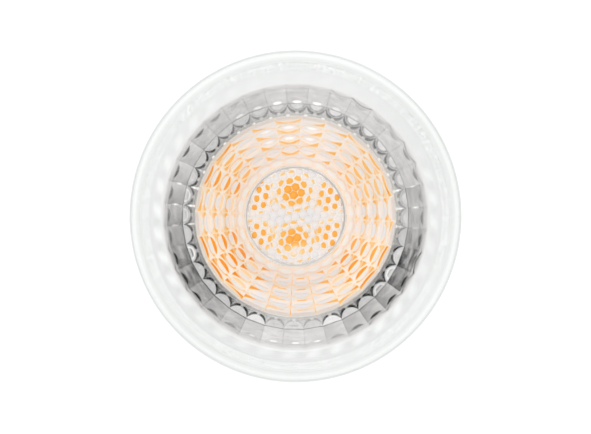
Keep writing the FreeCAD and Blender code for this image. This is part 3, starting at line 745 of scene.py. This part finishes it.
def flankAmber(at):
    # How amber a point of the flank is: the painted reflections of the sources are crescents and wedges.
    u, v, up, shares = at.side, at.v, at.along, at.shares
    left, right = (u + 1.0) * 0.5, (1.0 - u) * 0.5
    # crescent: an upper edge that sags a little and a round belly
    belly = 1.0 - (u / 0.80).square()
    below = -0.39 - v
    crescent = (below - belly * 0.06).rise(-0.06, 0.08) * belly.rise(-0.02, 0.12)
    crescent = crescent * (below - belly.most(0.0).root() * 0.58).rise(0.06, -0.1)
    wedges = at.wedge(left, "left", shares["fall"]) + at.wedge(right, "right", shares["climb"])
    nearBorder = left.least(right)
    fanLine = at.wrapped(0.72).size()
    fan = (fanLine - (0.40 - nearBorder) * 1.9).rise(0.15, -0.25) * nearBorder.rise(0.38, 0.22)
    fan = fan * (fanLine.rise(0.0, 0.3) * 0.4 + 0.6)
    arc = at.wrapped(-0.98) - u.square() * 0.56
    bow = arc.bell(0.0, 0.24)
    horns = left.rise(0.8, 0.3) * shares["hornLeft"] + right.rise(0.8, 0.3) * shares["hornRight"]
    horns = (arc.bell(0.0, 0.58) * horns + bow * shares["crescent"] * 0.5) * up.rise(3.92, 4.0)
    bow = bow * (1.0 - up.rise(1.6, 3.4) * 0.5)
    # a painted pale ring round the grey middle of the facet, painted amber lines on the borders between
    # sectors and dashes between rows
    ring = at.ellipse.bell(1.0, 0.3) * v.rise(-0.3, 0.1) * up.rise(4.2, 4.1)
    ring = ring * (shares["crescent"] * 0.46 + shares["fan"] * 0.6 + 0.24)
    borderAmber = u.size().rise(0.93, 1.0) * (at.wrapped(-0.5).size().rise(0.7, 0.1) * 0.5 + 0.5)
    dash = at.wrapped(-0.94).bell(0.0, 0.18) * u.size().rise(0.62, 0.3)
    amber = crescent * shares["crescent"] + wedges + fan * shares["fan"] + horns + bow * shares["bow"]
    amber = amber + ring + borderAmber * shares["paintedBorder"] + dash * shares["dash"]
    amber = amber * (1.0 - at.grid * shares["grid"].least(1.0) * shares["fan"].rise(0.1, 0.3) * 0.75)
    footArc = up.bell(0.11, 0.1) * (1.0 - u.square()) * (shares["crescent"] * 0.4 + 0.06)
    return (amber * (at.streaks * 0.5 + 1.0) * at.rowsShown + footArc).held()


def flankGround(at):
    # Painted reflection and shade: warm and pale between the marks, a cool grey in the middle of each
    # facet, and clear at the foot.
    u, up, shares = at.side, at.along, at.shares
    patches = noiseField(at.tree, 0.45, detail=2.0) - 0.5
    cool = patches * 1.6 + at.streaks * 3.0 + 0.5 - shares["warm"] * 0.7 + at.ellipse.rise(0.95, 0.3) * 0.65
    ground = colourMix(at.tree, cool.held(), (1.0, 0.885, 0.775), (0.84, 0.875, 0.94))
    blob = ((u / 0.9).square() + ((up - 0.34) / 0.17).square()).rise(1.25, 0.3)
    smear = (blob * 0.9 + at.streaks * 0.8).held()
    wave = (up + u.square() * 0.14).bell(0.66, 0.14) * 0.3
    chord = at.wrapped(-0.32).bell(0.04, 0.15) * (1.0 - (u / 0.75).square()).rise(0.0, 0.4) * at.rowsShown
    # painted dark grey lines, a painted pale reflection in the top sectors, a painted darker band at the
    # top under the plate's edge, and painted white lines on the grid
    for share, colour in (
        (up.rise(0.86, 0.5) * 0.95, colourMix(at.tree, smear, (1.0, 0.87, 0.76), (0.92, 0.99, 1.0))),
        ((wave + chord * (1.0 - shares["crescent"] * 2.0).held() * 0.4).held(), (0.60, 0.55, 0.53)),
        (shares["paleReflection"] * at.rowsShown, (0.97, 0.95, 0.94)),
        (up.rise(4.02, 4.25) * 0.8, (0.74, 0.67, 0.62)),
        ((at.grid * shares["grid"] * at.rowsShown).held(), (0.98, 0.98, 0.98)),
    ):
        ground = colourMix(at.tree, share, ground, colour)
    return ground


def flankMaterial():
    material, tree = startMaterial("flankFacets")
    at = FlankPlace(tree)
    amber = flankAmber(at)
    tone = colourRamp(tree, amber, (0.0, 1.0, 0.84, 0.66), (0.28, 1.0, 0.73, 0.42), (0.5, 1.0, 0.60, 0.20),
                      (0.78, 0.98, 0.44, 0.055), (1.0, 0.95, 0.31, 0.0))
    colour = colourMix(tree, amber.rise(0.0, 0.3), flankGround(at), tone)
    # painted white highlights in the top sectors
    gleam = ((at.side / 0.42).square() + ((at.v + 0.16) / 0.17).square()).rise(1.3, 0.4)
    gleam = (gleam * at.shares["gleam"] * at.along.rise(1.3, 2.1) * at.along.rise(4.0, 3.8)).held()
    colour = colourMix(tree, gleam, colour, (1.0, 1.0, 1.0))
    # painted glow: an emission lifts the clear foot, and the painted highlights glow white
    paintedGlow = colourMix(tree, at.along.rise(1.8, 0.8), (0.0, 0.0, 0.0), (0.27, 0.265, 0.30))
    paintedGlow = colourMix(tree, gleam, paintedGlow, (1.0, 1.0, 1.0))
    bump = bumpFrom(tree, noiseField(tree, 1.5), 0.01)
    return finishMaterial(material, solidShader(tree, colour, bump, Roughness=0.35, Specular_IOR_Level=0.2,
                                                Emission_Color=paintedGlow, Emission_Strength=0.2))


def plateMaterial():
    # The clear front plate.
    material, tree = startMaterial("clearPlate")
    ripple = bumpFrom(tree, noiseField(tree, 0.2, detail=1.0), 0.01, 0.3)
    haze = (noiseField(tree, 0.12, detail=3.0) - 0.5) * 0.012 + 0.99
    return finishMaterial(material, glassShade(tree, greyColour(tree, haze), gloss=0.25, normal=ripple))


def windowRingMaterial():
    # The sloping step round the window: grey, with painted shade a little darker to the right and lighter
    # toward the bottom.
    material, tree = startMaterial("windowStep")
    x, y = objectPlace(tree)[:2]
    right = (x * 0.9 + y * 0.2).rise(4.0, 7.0) * 0.14
    level = 0.60 + noiseField(tree, 0.3) * 0.1 - right + (y / -8.0).held() * 0.08
    return finishMaterial(material, solidShader(tree, greyColour(tree, level), None, Roughness=0.3))


def windowColour(tree, hitX, hitY, edge, atSide, x, y):
    # The hits say where over the light board the view through a lenslet lands, edge how near its rim it is,
    # and atSide that the lenslet looks at a source from the side, which narrows its image.
    m = lightImages
    ax, ay = (hitX + m["shift"]).size(), hitY.size()
    middle = (ax.square() + (ay - m["middleRow"]).square()).root()
    side = ((ax - m["columnStep"]).square() * (atSide * 0.9 + 0.9) + (ay - m["sideRow"]).square()).root()
    beyond = middle.least(side + m["sideShrink"]) - m["halfSize"]
    beyond = beyond + atSide * ((side - m["sideHalf"]) * 0.5 - beyond)
    amber = beyond.rise(m["fade"] / 2, -m["fade"] / 2)
    # core: how far the lenslet itself is from the nearest image's middle
    px, py = (x + m["shift"]).size(), y.size()
    core = (px.square() + (py - m["middleRow"]).square()).root().least(
        ((px - m["columnStep"]).square() + (py - m["sideRow"]).square()).root())
    rim = edge.rise(core.rise(0.7, 2.2) * -0.35 + 1.0, 1.04) * core.rise(0.6, 1.3)
    amber = amber * (1.0 - rim * (1.0 - atSide * 0.6)) * (1.0 - core.rise(2.6, 4.4) * 0.55)
    otherHalf = (hitY * y).rise(0.5, 0.0)
    amber = amber * (1.0 - atSide * (core.rise(2.1, 3.0) * 0.95).most(otherHalf))
    washed = (y + 5.3).bell(0.0, 2.0) * x.bell(0.0, 2.4) * (noiseField(tree, 1.1) * 1.5 + 0.1)
    amber = amber * (1.0 - washed).held()
    strong = (x + 3.5).rise(0.0, -1.0) * y.rise(-1.0, 1.0) * 0.45 + 1.1
    deep = colourRamp(tree, (amber * (strong - core.rise(0.5, 3.6) * 0.5)).held(), (0.0, 0.87, 0.71, 0.54),
                      (0.3, 0.86, 0.59, 0.29), (0.7, 0.85, 0.46, 0.12), (1.0, 0.84, 0.355, 0.045))
    # the board in the painted view: warmer near the images' middles and lighter toward each lenslet's rim
    board = colourMix(tree, noiseField(tree, 0.8), (0.665, 0.655, 0.675), (0.73, 0.70, 0.69))
    board = colourMix(tree, core.rise(4.6, 1.5) * 0.55, board, (0.86, 0.70, 0.57))
    board = colourMix(tree, edge.rise(0.72, 1.0) * 0.6, board, (0.83, 0.81, 0.80))
    return colourMix(tree, amber.rise(0.05, 0.5), board, deep)


def lensletMaterial():
    # Each lenslet has the reversed patch of the light board that it shows painted on it: amber sources,
    # white board between.
    material, tree = startMaterial("windowLenslets")
    x, y = objectPlace(tree)[:2]
    colour = windowColour(tree, *mapPlace(tree, "boardSeen"), *mapPlace(tree, "cellSpot"), x, y)
    bump = bumpFrom(tree, noiseField(tree, 1.5), 0.01)
    return finishMaterial(material, solidShader(tree, colour, bump, Roughness=0.3, Specular_IOR_Level=0.25))


def makeCollimator():
    # Turned body: (R cos a, R sin a, Z). On the flank R = inradius / cos(angle from the sector's
    # middle), and each facet bulges by pillow * (1 - u^2) * (1 - v^2) along the flank's slope.
    low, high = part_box("collimator_lens")
    plateRadius = (high.x - low.x) / 2 / mm
    topZ, footZ = high.z / mm, low.z / mm
    g = lens
    undersideZ = topZ - g["plateThickness"]
    half = math.pi / g["sectors"]
    angle, u, polygon = facetColumns(g["sectors"], g["columnsPerSector"], g["phase"])
    columns = len(angle)
    rounds = np.ones(columns)
    rows = []                                        # (radius, height, zone, rows counted from the foot)

    def addProfile(zone, points):
        for r, z in points:
            rows.append((r * rounds, z * rounds, zone, 0.0))

    floorZ = topZ - g["windowDepth"]
    ringTop = g["windowRadius"] + g["windowRing"]
    addProfile(0, straight((0.0, floorZ), (g["windowRadius"], floorZ), 4))
    addProfile(1, straight((g["windowRadius"], floorZ), (ringTop, topZ), 3)[1:])
    edge = g["edgeRound"]
    addProfile(0, np.vstack([
        straight((ringTop, topZ), (plateRadius - edge, topZ), 6)[1:],
        roundCorner((plateRadius - edge, topZ - edge), edge, 90.0, 0.0, 5)[1:],
        straight((plateRadius, topZ - edge), (plateRadius, undersideZ), 4)[1:],
        straight((plateRadius, undersideZ), (g["topRadius"] / math.cos(half), undersideZ), 4)[1:-1],
    ]))
    rows.append((g["topRadius"] * polygon, undersideZ * rounds, 0, 0.0))
    count = (g["topRadius"] - g["footRadius"]) / g["rowPitch"]
    full = int(count)
    wholeRows = np.linspace(full, 0, full * g["rowSteps"] + 1)
    marks = np.concatenate([np.linspace(count, full, 5)[:-1], wholeRows])
    for mark in marks:
        radius = g["footRadius"] + mark * g["rowPitch"]
        share = (radius - g["footRadius"]) / (g["topRadius"] - g["footRadius"])
        z = footZ + g["depth"] * ((1 - g["flankCurve"]) * share + g["flankCurve"] * share ** 2)
        v = (mark - math.floor(mark)) * 2.0 - 1.0
        swell = g["pillow"] * (1 - u ** 2) * (1 - v ** 2)
        if mark >= full:
            swell = swell * g["topRowPillow"]
        out, fall = g["pillowWay"]
        rows.append((radius * polygon + swell * out, z - swell * fall, 2, mark))
    cavityTop = footZ + g["cavityDepth"]
    addProfile(0, np.vstack([
        straight((g["footRadius"], footZ), (g["cavityRadius"], footZ), 3)[1:],
        straight((g["cavityRadius"], footZ), (g["cavityRadius"], cavityTop), 5)[1:],
        arcBetween((g["cavityRadius"], cavityTop), (0.0, cavityTop - g["domeSag"]), g["domeBow"], 8)[1:],
    ]))

    radius = np.array([row[0] for row in rows])
    height = np.array([row[1] for row in rows])
    points = roundPoints(radius, angle, height)
    faces = ringFaces(len(rows), columns)
    down, across = cornerSteps(len(rows), columns)
    zone = np.array([row[2] for row in rows])
    mark = np.array([row[3] for row in rows])
    faceZone = zone[down[:, 2]]
    up = np.where(faceZone[:, None] == 2, np.where(zone[down] == 2, mark[down], count), 0.0)
    maps = {"cellPlace": (across / g["columnsPerSector"], up)}
    piece = makePiece("collimatorLens", points, faces,
                      [plateMaterial(), windowRingMaterial(), flankMaterial()], faceZone, maps, crease=20.0)
    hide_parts("collimator_lens")
    return floorZ


def makeLenslets(floorZ):
    # A hexagonal lattice of domes: middle + t * reach(direction), where reach is the least of the way to
    # the hexagon's six sides and to the window's circle; the profile gives t and height row by row.
    g = lenslets
    turn = math.radians(g["turn"])
    window = lens["windowRadius"] - g["windowGap"]
    n = int(window / g["pitch"]) + 3
    i, j = np.meshgrid(np.arange(-n, n + 1), np.arange(-n, n + 1))
    s, t = g["pitch"] * (i + j / 2.0), g["pitch"] * j * math.sqrt(3) / 2
    cx = (s * math.cos(turn) - t * math.sin(turn)).ravel()
    cy = (s * math.sin(turn) + t * math.cos(turn)).ravel()
    keep = np.hypot(cx, cy) < window + g["reachPast"]
    cx, cy = cx[keep][:, None], cy[keep][:, None]
    inward = np.minimum(1.0, (window - g["middleInside"]) / np.maximum(np.hypot(cx, cy), 0.1))
    px, py = cx * inward, cy * inward                # a dome's own middle, kept inside the window

    columns = g["columns"]
    a = turn + math.radians(30.0) + np.arange(columns) * 2.0 * math.pi / columns
    dx, dy = np.cos(a)[None, :], np.sin(a)[None, :]
    sides = turn + np.arange(6) * math.pi / 3
    outward = np.cos(a[:, None] - sides)             # columns by sides of the hexagon
    spare = (g["pitch"] - g["gap"]) / 2 - (px - cx) * np.cos(sides) - (py - cy) * np.sin(sides)
    toSide = np.where(outward > 1e-6, spare[:, None, :] / np.maximum(outward, 1e-6), 9.0)
    along = px * dx + py * dy
    toCircle = -along + np.sqrt(np.maximum(along ** 2 - (px ** 2 + py ** 2) + window ** 2, 0.0))
    reach = np.minimum(toSide.min(-1), toCircle)     # lenslets by columns

    shares = [share for share, height in g["profile"]]    # from the root's middle out, up and in again
    grid = np.stack([
        np.stack([px + s * reach * dx, py + s * reach * dy, np.full(reach.shape, floorZ + h)], -1)
        for s, h in g["profile"]
    ], 1)                                            # lenslets, rows, columns, three
    count, rows = grid.shape[0], len(shares)
    firstPoints = (np.arange(count) * rows * columns)[:, None, None]
    faces = (ringFaces(rows, columns)[None] + firstPoints).reshape(-1, 4)
    down, across = cornerSteps(rows, columns)
    across = across % columns
    local = grid[:, down, across]                    # lenslets, faces, corners, three
    atSide = np.abs(cx + lightImages["shift"]) > g["sideFrom"]
    jump = np.where(atSide, g["sideMapping"], g["mapping"])
    hitX = (cx + jump * (local[..., 0].reshape(count, -1) - cx)).reshape(-1, 4)
    hitY = (cy + jump * (local[..., 1].reshape(count, -1) - cy)).reshape(-1, 4)
    edgeShare = np.array(shares)[down][None] * np.ones((count, 1, 1))
    sideShare = atSide[:, :, None] * np.ones(edgeShare.shape)
    maps = {
        "boardSeen": (hitX, hitY),
        "cellSpot": (edgeShare.reshape(-1, 4), sideShare.reshape(-1, 4)),
    }
    makePiece("windowLenslets", grid.reshape(-1, 3), faces, [lensletMaterial()], None,
              maps, crease=50.0)


makeLenslets(makeCollimator())


insides = {
    "sourcePitch": 3.6,        # light sources along x
    "maskStep": 0.05,
    "ledLeadBare": 31.6,
    "turnPitch": 0.42,         # of the choke's winding
    "weave": 0.5,
    "trackPitch": 1.3,
    "canBottom": 18.25,
    "canTop": 28.2,
    "canAxis": 4.8,
    "chipOffset": 3.5,
    "chipHalf": 1.95,
    "resistorMiddle": 3.0,
    "resistorHalf": 2.5,
    "legStart": 0.82,          # how far from the board's middle the pins of the boxes end
    "studOffset": 5.0,
}


def mottle(tree, first, second, scale, stretch=(1.0, 1.0, 1.0), detail=3.0):
    return colourMix(tree, noiseField(tree, scale, detail, stretch).rise(0.25, 0.75), first, second)


def surfaceMaterial(slotName, describe):
    # The describing function gives colour, roughness, metal share, height and how far the height reaches.
    material, tree = startMaterial(slotName + "Look")
    colour, roughness, metal, height, reach = describe(tree, *objectPlace(tree))
    return finishMaterial(material, solidShader(tree, colour, bumpFrom(tree, height, reach),
                                                Roughness=roughness, Metallic=metal))


def withWire(tree, bare, colour, roughness):
    # The part of a component that is bare tinned wire: share 1 there.
    wire = mottle(tree, (0.62, 0.61, 0.59), (0.80, 0.79, 0.77), 2.0)
    return colourMix(tree, bare, colour, wire), roughness + bare * (0.3 - roughness), bare


def plainLook(first, second, scale, rough, bump, bare=None):
    # Two mottled colours. rough is (cells in a millimetre, span, base), bump is (cells, detail, reach), and
    # bare is (axis, place, width of the change) where the surface ends and its wires begin.
    def describe(tree, *place):
        colour = mottle(tree, first, second, scale)
        roughness, metal = noiseField(tree, rough[0]) * rough[1] + rough[2], 0.0
        if bare is not None:
            axis, start, width = bare
            wire = place[axis].rise(start, start + width)
            colour, roughness, metal = withWire(tree, wire, colour, roughness)
        return colour, roughness, metal, noiseField(tree, bump[0], bump[1]), bump[2]
    return describe


def drawnLook(first, second, scale, detail, stretch, span):
    # Bright metal with fine lines along its length.
    def describe(tree, *place):
        lines = noiseField(tree, scale, detail, (1.0, 1.0, stretch))
        return colourMix(tree, lines.rise(0.3, 0.7), first, second), lines * span + 0.2, 1.0, lines, 0.01
    return describe


def maskedBoard(tree, x, y, z):
    # White mask; the copper under it ends in narrow gaps between the columns of sources.
    gap = (x.size() - insides["sourcePitch"] / 2).size().rise(0.2, 0.12).most(y.size().rise(0.2, 0.12))
    gap = gap * (x.square() + y.square()).root().rise(9.2, 9.0)
    mask = mottle(tree, (0.90, 0.90, 0.88), (0.94, 0.94, 0.92), 0.6)
    height = noiseField(tree, 3.0) * 0.1 - gap
    colour = colourMix(tree, gap * 0.6, mask, (0.80, 0.78, 0.70))
    return colour, noiseField(tree, 2.0) * 0.15 + 0.38, 0.0, height, insides["maskStep"]


def brightZinc(tree, x, y, z):
    patches = noiseField(tree, 1.8, 1.0)
    colour = colourMix(tree, patches.rise(0.35, 0.65), (0.64, 0.66, 0.69), (0.78, 0.79, 0.80))
    return colour, patches * 0.2 + 0.2, 1.0, noiseField(tree, 5.0), 0.006


def grainyCement(tree, x, y, z):
    grains = noiseField(tree, 4.0, 5.0, roughness=0.65)
    pores = noiseField(tree, 2.2, 1.0).rise(0.36, 0.3)
    paste = mottle(tree, (0.82, 0.80, 0.76), (0.93, 0.92, 0.89), 2.5)
    # painted shade darkens the pores
    colour = colourMix(tree, pores * 0.6, paste, (0.55, 0.53, 0.49))
    return colour, grains * 0.2 + 0.7, 0.0, grains - pores, 0.06


def turnedNickel(tree, x, y, z):
    # Rings from the lathe round each stud's own axis.
    radius = ((x.size() - insides["studOffset"]).square() + y.square()).root()
    rings = (radius * 22.0 + noiseField(tree, 0.8) * 2.0).sine()
    colour = mottle(tree, (0.72, 0.70, 0.66), (0.80, 0.785, 0.75), 0.5, detail=1.0)
    return colour, rings * 0.04 + noiseField(tree, 0.6, 1.0) * 0.12 + 0.24, 1.0, rings, 0.0015


def fibreBoard(tree, x, y, z):
    # Green mask over a weave, lighter where copper tracks run under it.
    weave = (y * (math.pi / insides["weave"])).sine() * (z * (math.pi / insides["weave"])).sine()
    bend = (z * 0.45).sine() * 0.5
    track = (((y + bend) / insides["trackPitch"]).part() - 0.5).size().rise(0.26, 0.2)
    track = track * noiseField(tree, 0.2, 1.0).rise(0.48, 0.5)
    base = colourMix(tree, weave * 0.5 + 0.5, (0.035, 0.20, 0.085), (0.05, 0.25, 0.11))
    colour = colourMix(tree, track, base, (0.10, 0.38, 0.17))
    return colour, noiseField(tree, 2.0) * 0.15 + 0.3, 0.0, track + weave * 0.15, 0.03


def sleevedCan(tree, x, y, z):
    # Black sleeve with one plain pale stripe, bare aluminium inside its rolled top edge, legs below.
    radius = ((x - insides["canAxis"]).square() + y.square()).root()
    legs = z.rise(insides["canBottom"], insides["canBottom"] - 0.05)
    top = z.rise(insides["canTop"] - 0.35, insides["canTop"] - 0.25) * radius.rise(3.3, 3.2)
    sleeve = mottle(tree, (0.022, 0.024, 0.03), (0.045, 0.048, 0.055), 1.0)
    sleeve = colourMix(tree, y.rise(-3.25, -3.35), sleeve, (0.42, 0.44, 0.46))
    metal = legs.most(top)
    colour = colourMix(tree, metal, sleeve, mottle(tree, (0.70, 0.70, 0.71), (0.84, 0.84, 0.84), 1.6))
    return colour, noiseField(tree, 2.0) * 0.15 + 0.25, metal, noiseField(tree, 1.2), 0.01


def copperTurns(tree, x, y, z):
    # Turns lie side by side along x, each a small round ridge, with a painted shade line in the groove
    # between them.
    place = ((x + (y.size() + z) * 0.02) / insides["turnPitch"]).part() - 0.5
    ridge = (1.0 - (place * 2.0).square()).most(0.0).root()
    bright = mottle(tree, (0.72, 0.34, 0.15), (0.84, 0.44, 0.22), 1.5)
    colour = colourMix(tree, ridge.rise(0.7, 0.1), bright, (0.20, 0.08, 0.035))
    return colour, noiseField(tree, 2.0) * 0.15 + 0.22, ridge.rise(0.1, 0.5), ridge, 0.12


def blackEpoxy(tree, x, y, z):
    # Moulded body with its legs at both sides and a small dimple that marks the first of them.
    away = y.size() - insides["chipOffset"]
    legs = away.size().rise(insides["chipHalf"] + 0.01, insides["chipHalf"] + 0.04)
    dimple = ((away - 1.2).square() + (z - 11.8).square()).root().rise(0.32, 0.26)
    body = mottle(tree, (0.022, 0.022, 0.024), (0.045, 0.045, 0.048), 6.0)
    colour, roughness, metal = withWire(tree, legs, body, noiseField(tree, 4.0) * 0.2 + 0.5 - dimple * 0.2)
    return colour, roughness, metal, noiseField(tree, 9.0) - dimple * 2.0, 0.012


def bandedResistor(tree, x, y, z):
    # Matt green lacquer with plain rings of colour.
    along = y - insides["resistorMiddle"]
    legs = along.size().rise(insides["resistorHalf"], insides["resistorHalf"] + 0.03)
    colour = mottle(tree, (0.20, 0.36, 0.27), (0.28, 0.45, 0.35), 2.0)
    for place, ring in ((-1.5, (0.30, 0.10, 0.04)), (-0.6, (0.03, 0.03, 0.03)), (0.3, (0.02, 0.02, 0.02)),
                        (1.5, (0.55, 0.42, 0.12))):
        colour = colourMix(tree, (along - place).size().rise(0.26, 0.22), colour, ring)
    colour, roughness, metal = withWire(tree, legs, colour, noiseField(tree, 3.0) * 0.2 + 0.45)
    return colour, roughness, metal, noiseField(tree, 3.0), 0.015


def siliconeMaterial():
    # Cured clear silicone, with small bubbles; it shows only as a faint line.
    material, tree = startMaterial("clearSilicone")
    bubbles = noiseField(tree, 1.1, 1.0).rise(0.68, 0.72)
    level = noiseField(tree, 0.3) * 0.03 + 0.955 - bubbles * 0.08
    ripple = bumpFrom(tree, noiseField(tree, 0.6), 0.02)
    shade = glassShade(tree, greyColour(tree, level), gloss=0.2, roughness=0.2, normal=ripple)
    return finishMaterial(material, shade)


boxLegs = (0, -insides["legStart"], 0.03)
leadEnd = (2, insides["ledLeadBare"], 0.05)
slotLooks = {
    "board_white": maskedBoard,
    "led_body": plainLook((0.91, 0.90, 0.86), (0.95, 0.94, 0.91), 1.5, (3.0, 0.2, 0.28), (6.0, 2.0, 0.006)),
    "phosphor": plainLook((0.93, 0.50, 0.09), (0.99, 0.66, 0.20), 5.0, (4.0, 0.2, 0.35), (8.0, 2.0, 0.01)),
    "pad_grey": plainLook((0.56, 0.58, 0.62), (0.66, 0.68, 0.72), 1.2, (2.0, 0.2, 0.7), (3.5, 4.0, 0.02)),
    "sink_metal": drawnLook((0.78, 0.78, 0.79), (0.90, 0.90, 0.90), 3.5, 3.0, 0.05, 0.25),
    "screw_steel": brightZinc,
    "base_plastic": plainLook((0.92, 0.92, 0.90), (0.95, 0.95, 0.935), 0.25, (0.8, 0.16, 0.26),
                              (0.9, 2.0, 0.012)),
    "cement": grainyCement,
    "stud_metal": turnedNickel,
    "board_green": fibreBoard,
    "can_sleeve": sleevedCan,
    "film_box": plainLook((0.78, 0.50, 0.06), (0.86, 0.60, 0.10), 0.8, (2.0, 0.15, 0.3), (3.0, 2.0, 0.008),
                          boxLegs),
    "ferrite": plainLook((0.035, 0.035, 0.04), (0.085, 0.085, 0.09), 5.0, (3.0, 0.25, 0.5),
                         (6.0, 4.0, 0.02)),
    "copper": copperTurns,
    "chip_black": blackEpoxy,
    "resistor_coat": bandedResistor,
    "varistor_coat": plainLook((0.03, 0.12, 0.40), (0.06, 0.18, 0.50), 1.2, (2.0, 0.15, 0.2),
                               (1.3, 2.0, 0.03), boxLegs),
    "tinned_wire": drawnLook((0.64, 0.63, 0.61), (0.82, 0.81, 0.79), 2.5, 2.0, 0.3, 0.2),
    "lead_red": plainLook((0.50, 0.03, 0.025), (0.62, 0.06, 0.045), 1.5, (2.0, 0.15, 0.4), (2.5, 2.0, 0.01),
                          leadEnd),
    "lead_black": plainLook((0.02, 0.02, 0.02), (0.04, 0.04, 0.042), 1.5, (2.0, 0.15, 0.4),
                            (2.5, 2.0, 0.01), leadEnd),
}


def dressNodes():
    looks = {slotName: surfaceMaterial(slotName, describe) for slotName, describe in slotLooks.items()}
    looks["lens_glue"] = siliconeMaterial()
    for node in nodes.values():
        slotName = node.data.materials[0].name
        if slotName in looks:
            node.data.materials[0] = looks[slotName]
    print("dressed", len(looks), "kinds of surface inside the lamp")


dressNodes()


stage = {
    "floorZ": -7.02,
    "floorSize": 1800.0,
    "fieldWidth": 88.9,        # what the photograph's width takes in at the rim
    "cameraDistance": 1600.0,
    "worldLevel": 0.62,
    "floorGlow": 0.17,
    "lamps": {                 # place, watts and width
        "overheadLamp": ((60.0, 90.0, 1000.0), 7.0, 1200.0),
        "sideLamp": ((-700.0, -300.0, 450.0), 1.0, 500.0),
    },
}


def makeFloor():
    size, z = stage["floorSize"] / 2 * mm, stage["floorZ"] * mm
    mesh = bpy.data.meshes.new("floor")
    corners = [(-size, -size, z), (size, -size, z), (size, size, z), (-size, size, z)]
    mesh.from_pydata(corners, [], [(0, 1, 2, 3)])
    material, tree = startMaterial("paleFloor")
    paint = put(tree, "BsdfDiffuse", Color=(0.86, 0.86, 0.86, 1.0)).outputs[0]
    glow = put(tree, "Emission", Color=(1.0, 1.0, 1.0, 1.0), Strength=stage["floorGlow"]).outputs[0]
    none = put(tree, "Emission", Color=(0.0, 0.0, 0.0, 1.0), Strength=0.0).outputs[0]
    both = tree.nodes.new("ShaderNodeAddShader")
    tree.links.new(paint, both.inputs[0])
    tree.links.new(mixShaders(tree, directShare(tree), none, glow), both.inputs[1])
    # from below the floor is clear, so that the base can be looked at
    clear = put(tree, "BsdfTransparent").outputs[0]
    finishMaterial(material, mixShaders(tree, outsideShare(tree), clear, both.outputs[0]))
    mesh.materials.append(material)
    floor = bpy.data.objects.new("floor", mesh)
    bpy.context.scene.collection.objects.link(floor)


def makeWorld():
    world = bpy.data.worlds.new("studio")
    bpy.context.scene.world = world
    world.use_nodes = True
    tree = world.node_tree
    tree.nodes.clear()
    strength = stage["worldLevel"] + directShare(tree) * (1.0 - stage["worldLevel"])
    background = put(tree, "Background", Color=(1.0, 1.0, 1.0, 1.0), Strength=strength)
    output = tree.nodes.new("ShaderNodeOutputWorld")
    tree.links.new(background.outputs[0], output.inputs["Surface"])


def addSoftLamp(name, place, power, size):
    data = bpy.data.lights.new(name, "AREA")
    data.shape = "SQUARE"
    data.size = size * mm
    data.energy = power
    lamp = bpy.data.objects.new(name, data)
    bpy.context.scene.collection.objects.link(lamp)
    lamp.location = [c * mm for c in place]
    direction = -lamp.location.normalized()
    lamp.rotation_euler = direction.to_track_quat("-Z", "Y").to_euler()


def makeCamera():
    data = bpy.data.cameras.new("camera")
    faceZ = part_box("glass_body")[1].z
    data.sensor_width = 36.0
    data.lens = data.sensor_width * stage["cameraDistance"] / stage["fieldWidth"]
    data.clip_end = 20.0
    camera = bpy.data.objects.new("camera", data)
    bpy.context.scene.collection.objects.link(camera)
    camera.location = (0.0, -0.1 * mm, faceZ + stage["cameraDistance"] * mm)
    bpy.context.scene.camera = camera


makeFloor()
makeWorld()
for lampName, (place, power, size) in stage["lamps"].items():
    addSoftLamp(lampName, place, power, size)
makeCamera()
scene = bpy.context.scene
scene.view_settings.view_transform = "Standard"
scene.cycles.transparent_max_bounces = 32
scene.cycles.max_bounces = 10
print("stage, lamps and camera made")
